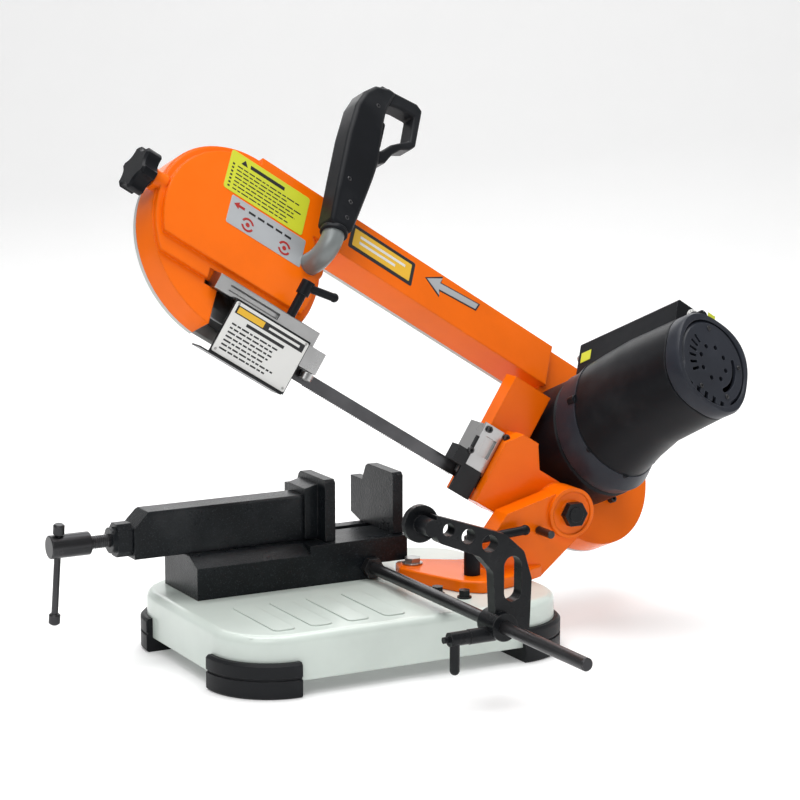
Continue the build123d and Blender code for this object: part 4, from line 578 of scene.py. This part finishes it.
# ---------------------------------------------------------------- blade, handle and vise screw
def blade_teeth():
    """Row of teeth along the straight part of the blade's cutting edge."""
    start, pitch, count = -304.0, 2.4, 80
    root, tip = -22.9, -24.1
    front, back = 6.7, 7.3
    bm = bmesh.new()
    for i in range(count):
        x = start + pitch * i
        tooth = [(x, root), (x + pitch * 0.85, root), (x + pitch * 0.2, tip)]
        extrude_outline(bm, tooth, front, back, "xz")
    finish_piece("blade_teeth", bm, BOW, "blade_steel", "bow", smooth=False)


def grip():
    """Moulded pistol grip with a looped guard over the trigger; it stands for the grip's two halves."""
    middle, handle_half, guard_half = 55.0, 12.6, 9.5
    handle = [(-354, 45), (-328, 45), (-324, 69), (-320, 96), (-317, 118), (-315, 140), (-317, 158),
              (-319, 180), (-319, 203), (-312, 229), (-322, 229), (-338, 222), (-349, 208), (-355, 188),
              (-357, 150), (-356, 100)]
    bm = bmesh.new()
    extrude_outline(bm, handle, middle - handle_half, middle + handle_half)
    body = finish_piece("grip_body", bm, WHEELS, "black_plastic", "bow", bevel=4.0)
    guard_outside = [(-330, 229), (-310, 231), (-284, 235), (-276, 231), (-275, 186), (-280, 179),
                     (-291, 172), (-300, 160), (-306, 146), (-318, 136)]
    guard_inside = [(-322, 150), (-313, 157), (-304, 170), (-293, 180), (-283, 188), (-284, 219),
                    (-302, 217), (-330, 208)]
    bm = bmesh.new()
    extrude_outline(bm, guard_outside + guard_inside, middle - guard_half, middle + guard_half)
    finish_piece("grip_guard", bm, WHEELS, "black_plastic", "bow", bevel=2.2)
    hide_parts("grip_front", "grip_back", "grip_screws")
    spots = [(-345, 100), (-338, 76), (-338, 57), (-331, 200)]
    screws("grip_front_screws", spots, 67.0, WHEELS, 2.4, 0.9)
    grip_mouth = Matrix.Translation(Vector((-341, 45, middle)) * MM) @ Matrix.Rotation(QUARTER, 4, "X")
    bm = bmesh.new()
    lathe(bm, (0, 0, 0), [(11.2, -1), (13.0, -1), (13.6, 0.5), (13.6, 3.5), (12.8, 4.6), (11.2, 4.6),
                          (11.2, -1)], 40)
    finish_piece("grip_collar", bm, WHEELS @ grip_mouth, "black_plastic", "bow")


def spindle_thread():
    """Thread crests on the free part of the vise screw."""
    root, crest, pitch, count = 5.9, 6.35, 2.0, 8
    start_x = -0.2395
    _, axis_y, axis_z = JOINTS["spindle_turn"]["pos_m"]
    profile = []
    for i in range(count):
        h = pitch * i
        profile += [(root, h), (crest, h + 0.6), (crest, h + 1.0), (root, h + 1.6)]
    bm = bmesh.new()
    lathe(bm, (0, 0, 0), profile, 40)
    place = Matrix.Translation((start_x, axis_y, axis_z)) @ Matrix.Rotation(QUARTER, 4, "Y")
    finish_piece("spindle_thread", bm, place, "dark_steel", "spindle")


warning_label()
tension_label()
name_label()
arrow_decal()
rating_plate()
bow_screws()
motor_shroud()
spindle_thread()
blade_teeth()
control_box_details()
grip()


# ---------------------------------------------------------------- stage
AZIMUTH = math.radians(-28.4)        # camera, turned from straight in front
ELEVATION = math.radians(10.0)


def add_floor():
    """Pale paper sweep: a floor that curves up into a wall behind the saw, square to the camera."""
    half_width, front, bend, bend_radius, wall_top = 7.0, -6.0, 2.6, 1.2, 5.0
    profile = [(front, 0.0), (bend, 0.0)]
    for i in range(1, 13):
        a = math.radians(7.5 * i)
        profile.append((bend + bend_radius * math.sin(a), bend_radius - bend_radius * math.cos(a)))
    profile.append((bend + bend_radius, wall_top))
    mesh = bpy.data.meshes.new("floor")
    floor = bpy.data.objects.new("floor", mesh)
    bpy.context.collection.objects.link(floor)
    bm = bmesh.new()
    turn = Matrix.Rotation(AZIMUTH, 4, "Z")
    sides = (-half_width, half_width)
    rows = [[bm.verts.new(turn @ Vector((x, y, z))) for y, z in profile] for x in sides]
    for a, b, c, d in zip(rows[0], rows[1], rows[1][1:], rows[0][1:]):
        bm.faces.new((a, b, c, d)).smooth = True
    bm.to_mesh(mesh)
    bm.free()
    paper = material("floor_paper", (0.90, 0.90, 0.90), 0.7, vary=0.004, grain=(60.0, 0.02),
                     round_edges=0.0)
    shader = paper.node_tree.nodes["Principled BSDF"]
    shader.inputs["Emission Color"].default_value = (1, 1, 1, 1)
    shader.inputs["Emission Strength"].default_value = 0.16
    mesh.materials.append(paper)


def add_light(name, place, target, size, power):
    """Rectangular area light aimed at a point; the power is in watts."""
    data = bpy.data.lights.new(name, "AREA")
    data.shape = "RECTANGLE"
    data.size, data.size_y = size
    data.energy = power
    light = bpy.data.objects.new(name, data)
    light.location = place
    light.rotation_euler = (Vector(target) - Vector(place)).to_track_quat("-Z", "Y").to_euler()
    bpy.context.collection.objects.link(light)


def add_world():
    """Even white surroundings."""
    world = bpy.data.worlds.new("studio")
    world.use_nodes = True
    background = world.node_tree.nodes["Background"]
    background.inputs["Color"].default_value = (1.0, 1.0, 1.0, 1)
    background.inputs["Strength"].default_value = 0.33
    bpy.context.scene.world = world
    bpy.context.scene.view_settings.view_transform = "Standard"


def add_camera():
    """Long lens, low and to the left of the saw's front."""
    data = bpy.data.cameras.new("camera")
    data.lens = 111.15
    data.sensor_width = 36.0
    camera = bpy.data.objects.new("camera", data)
    camera.location = (-1.0664, -2.0746, 0.6541)
    back = Vector((math.sin(AZIMUTH) * math.cos(ELEVATION), -math.cos(AZIMUTH) * math.cos(ELEVATION),
                   math.sin(ELEVATION)))
    camera.rotation_euler = back.to_track_quat("Z", "Y").to_euler()
    bpy.context.collection.objects.link(camera)
    bpy.context.scene.camera = camera


add_floor()
add_light("key", (-1.6, -1.9, 2.6), (0.05, 0.0, 0.2), (1.8, 1.4), 31.0)
add_light("fill", (2.4, -1.7, 1.4), (0.1, 0.0, 0.25), (1.6, 1.8), 5.0)
add_light("top", (0.2, 0.3, 2.8), (0.1, 0.0, 0.2), (2.4, 2.0), 78.0)
add_light("rim", (0.9, 2.3, 1.6), (0.1, 0.0, 0.3), (2.0, 1.2), 16.0)
add_world()
add_camera()
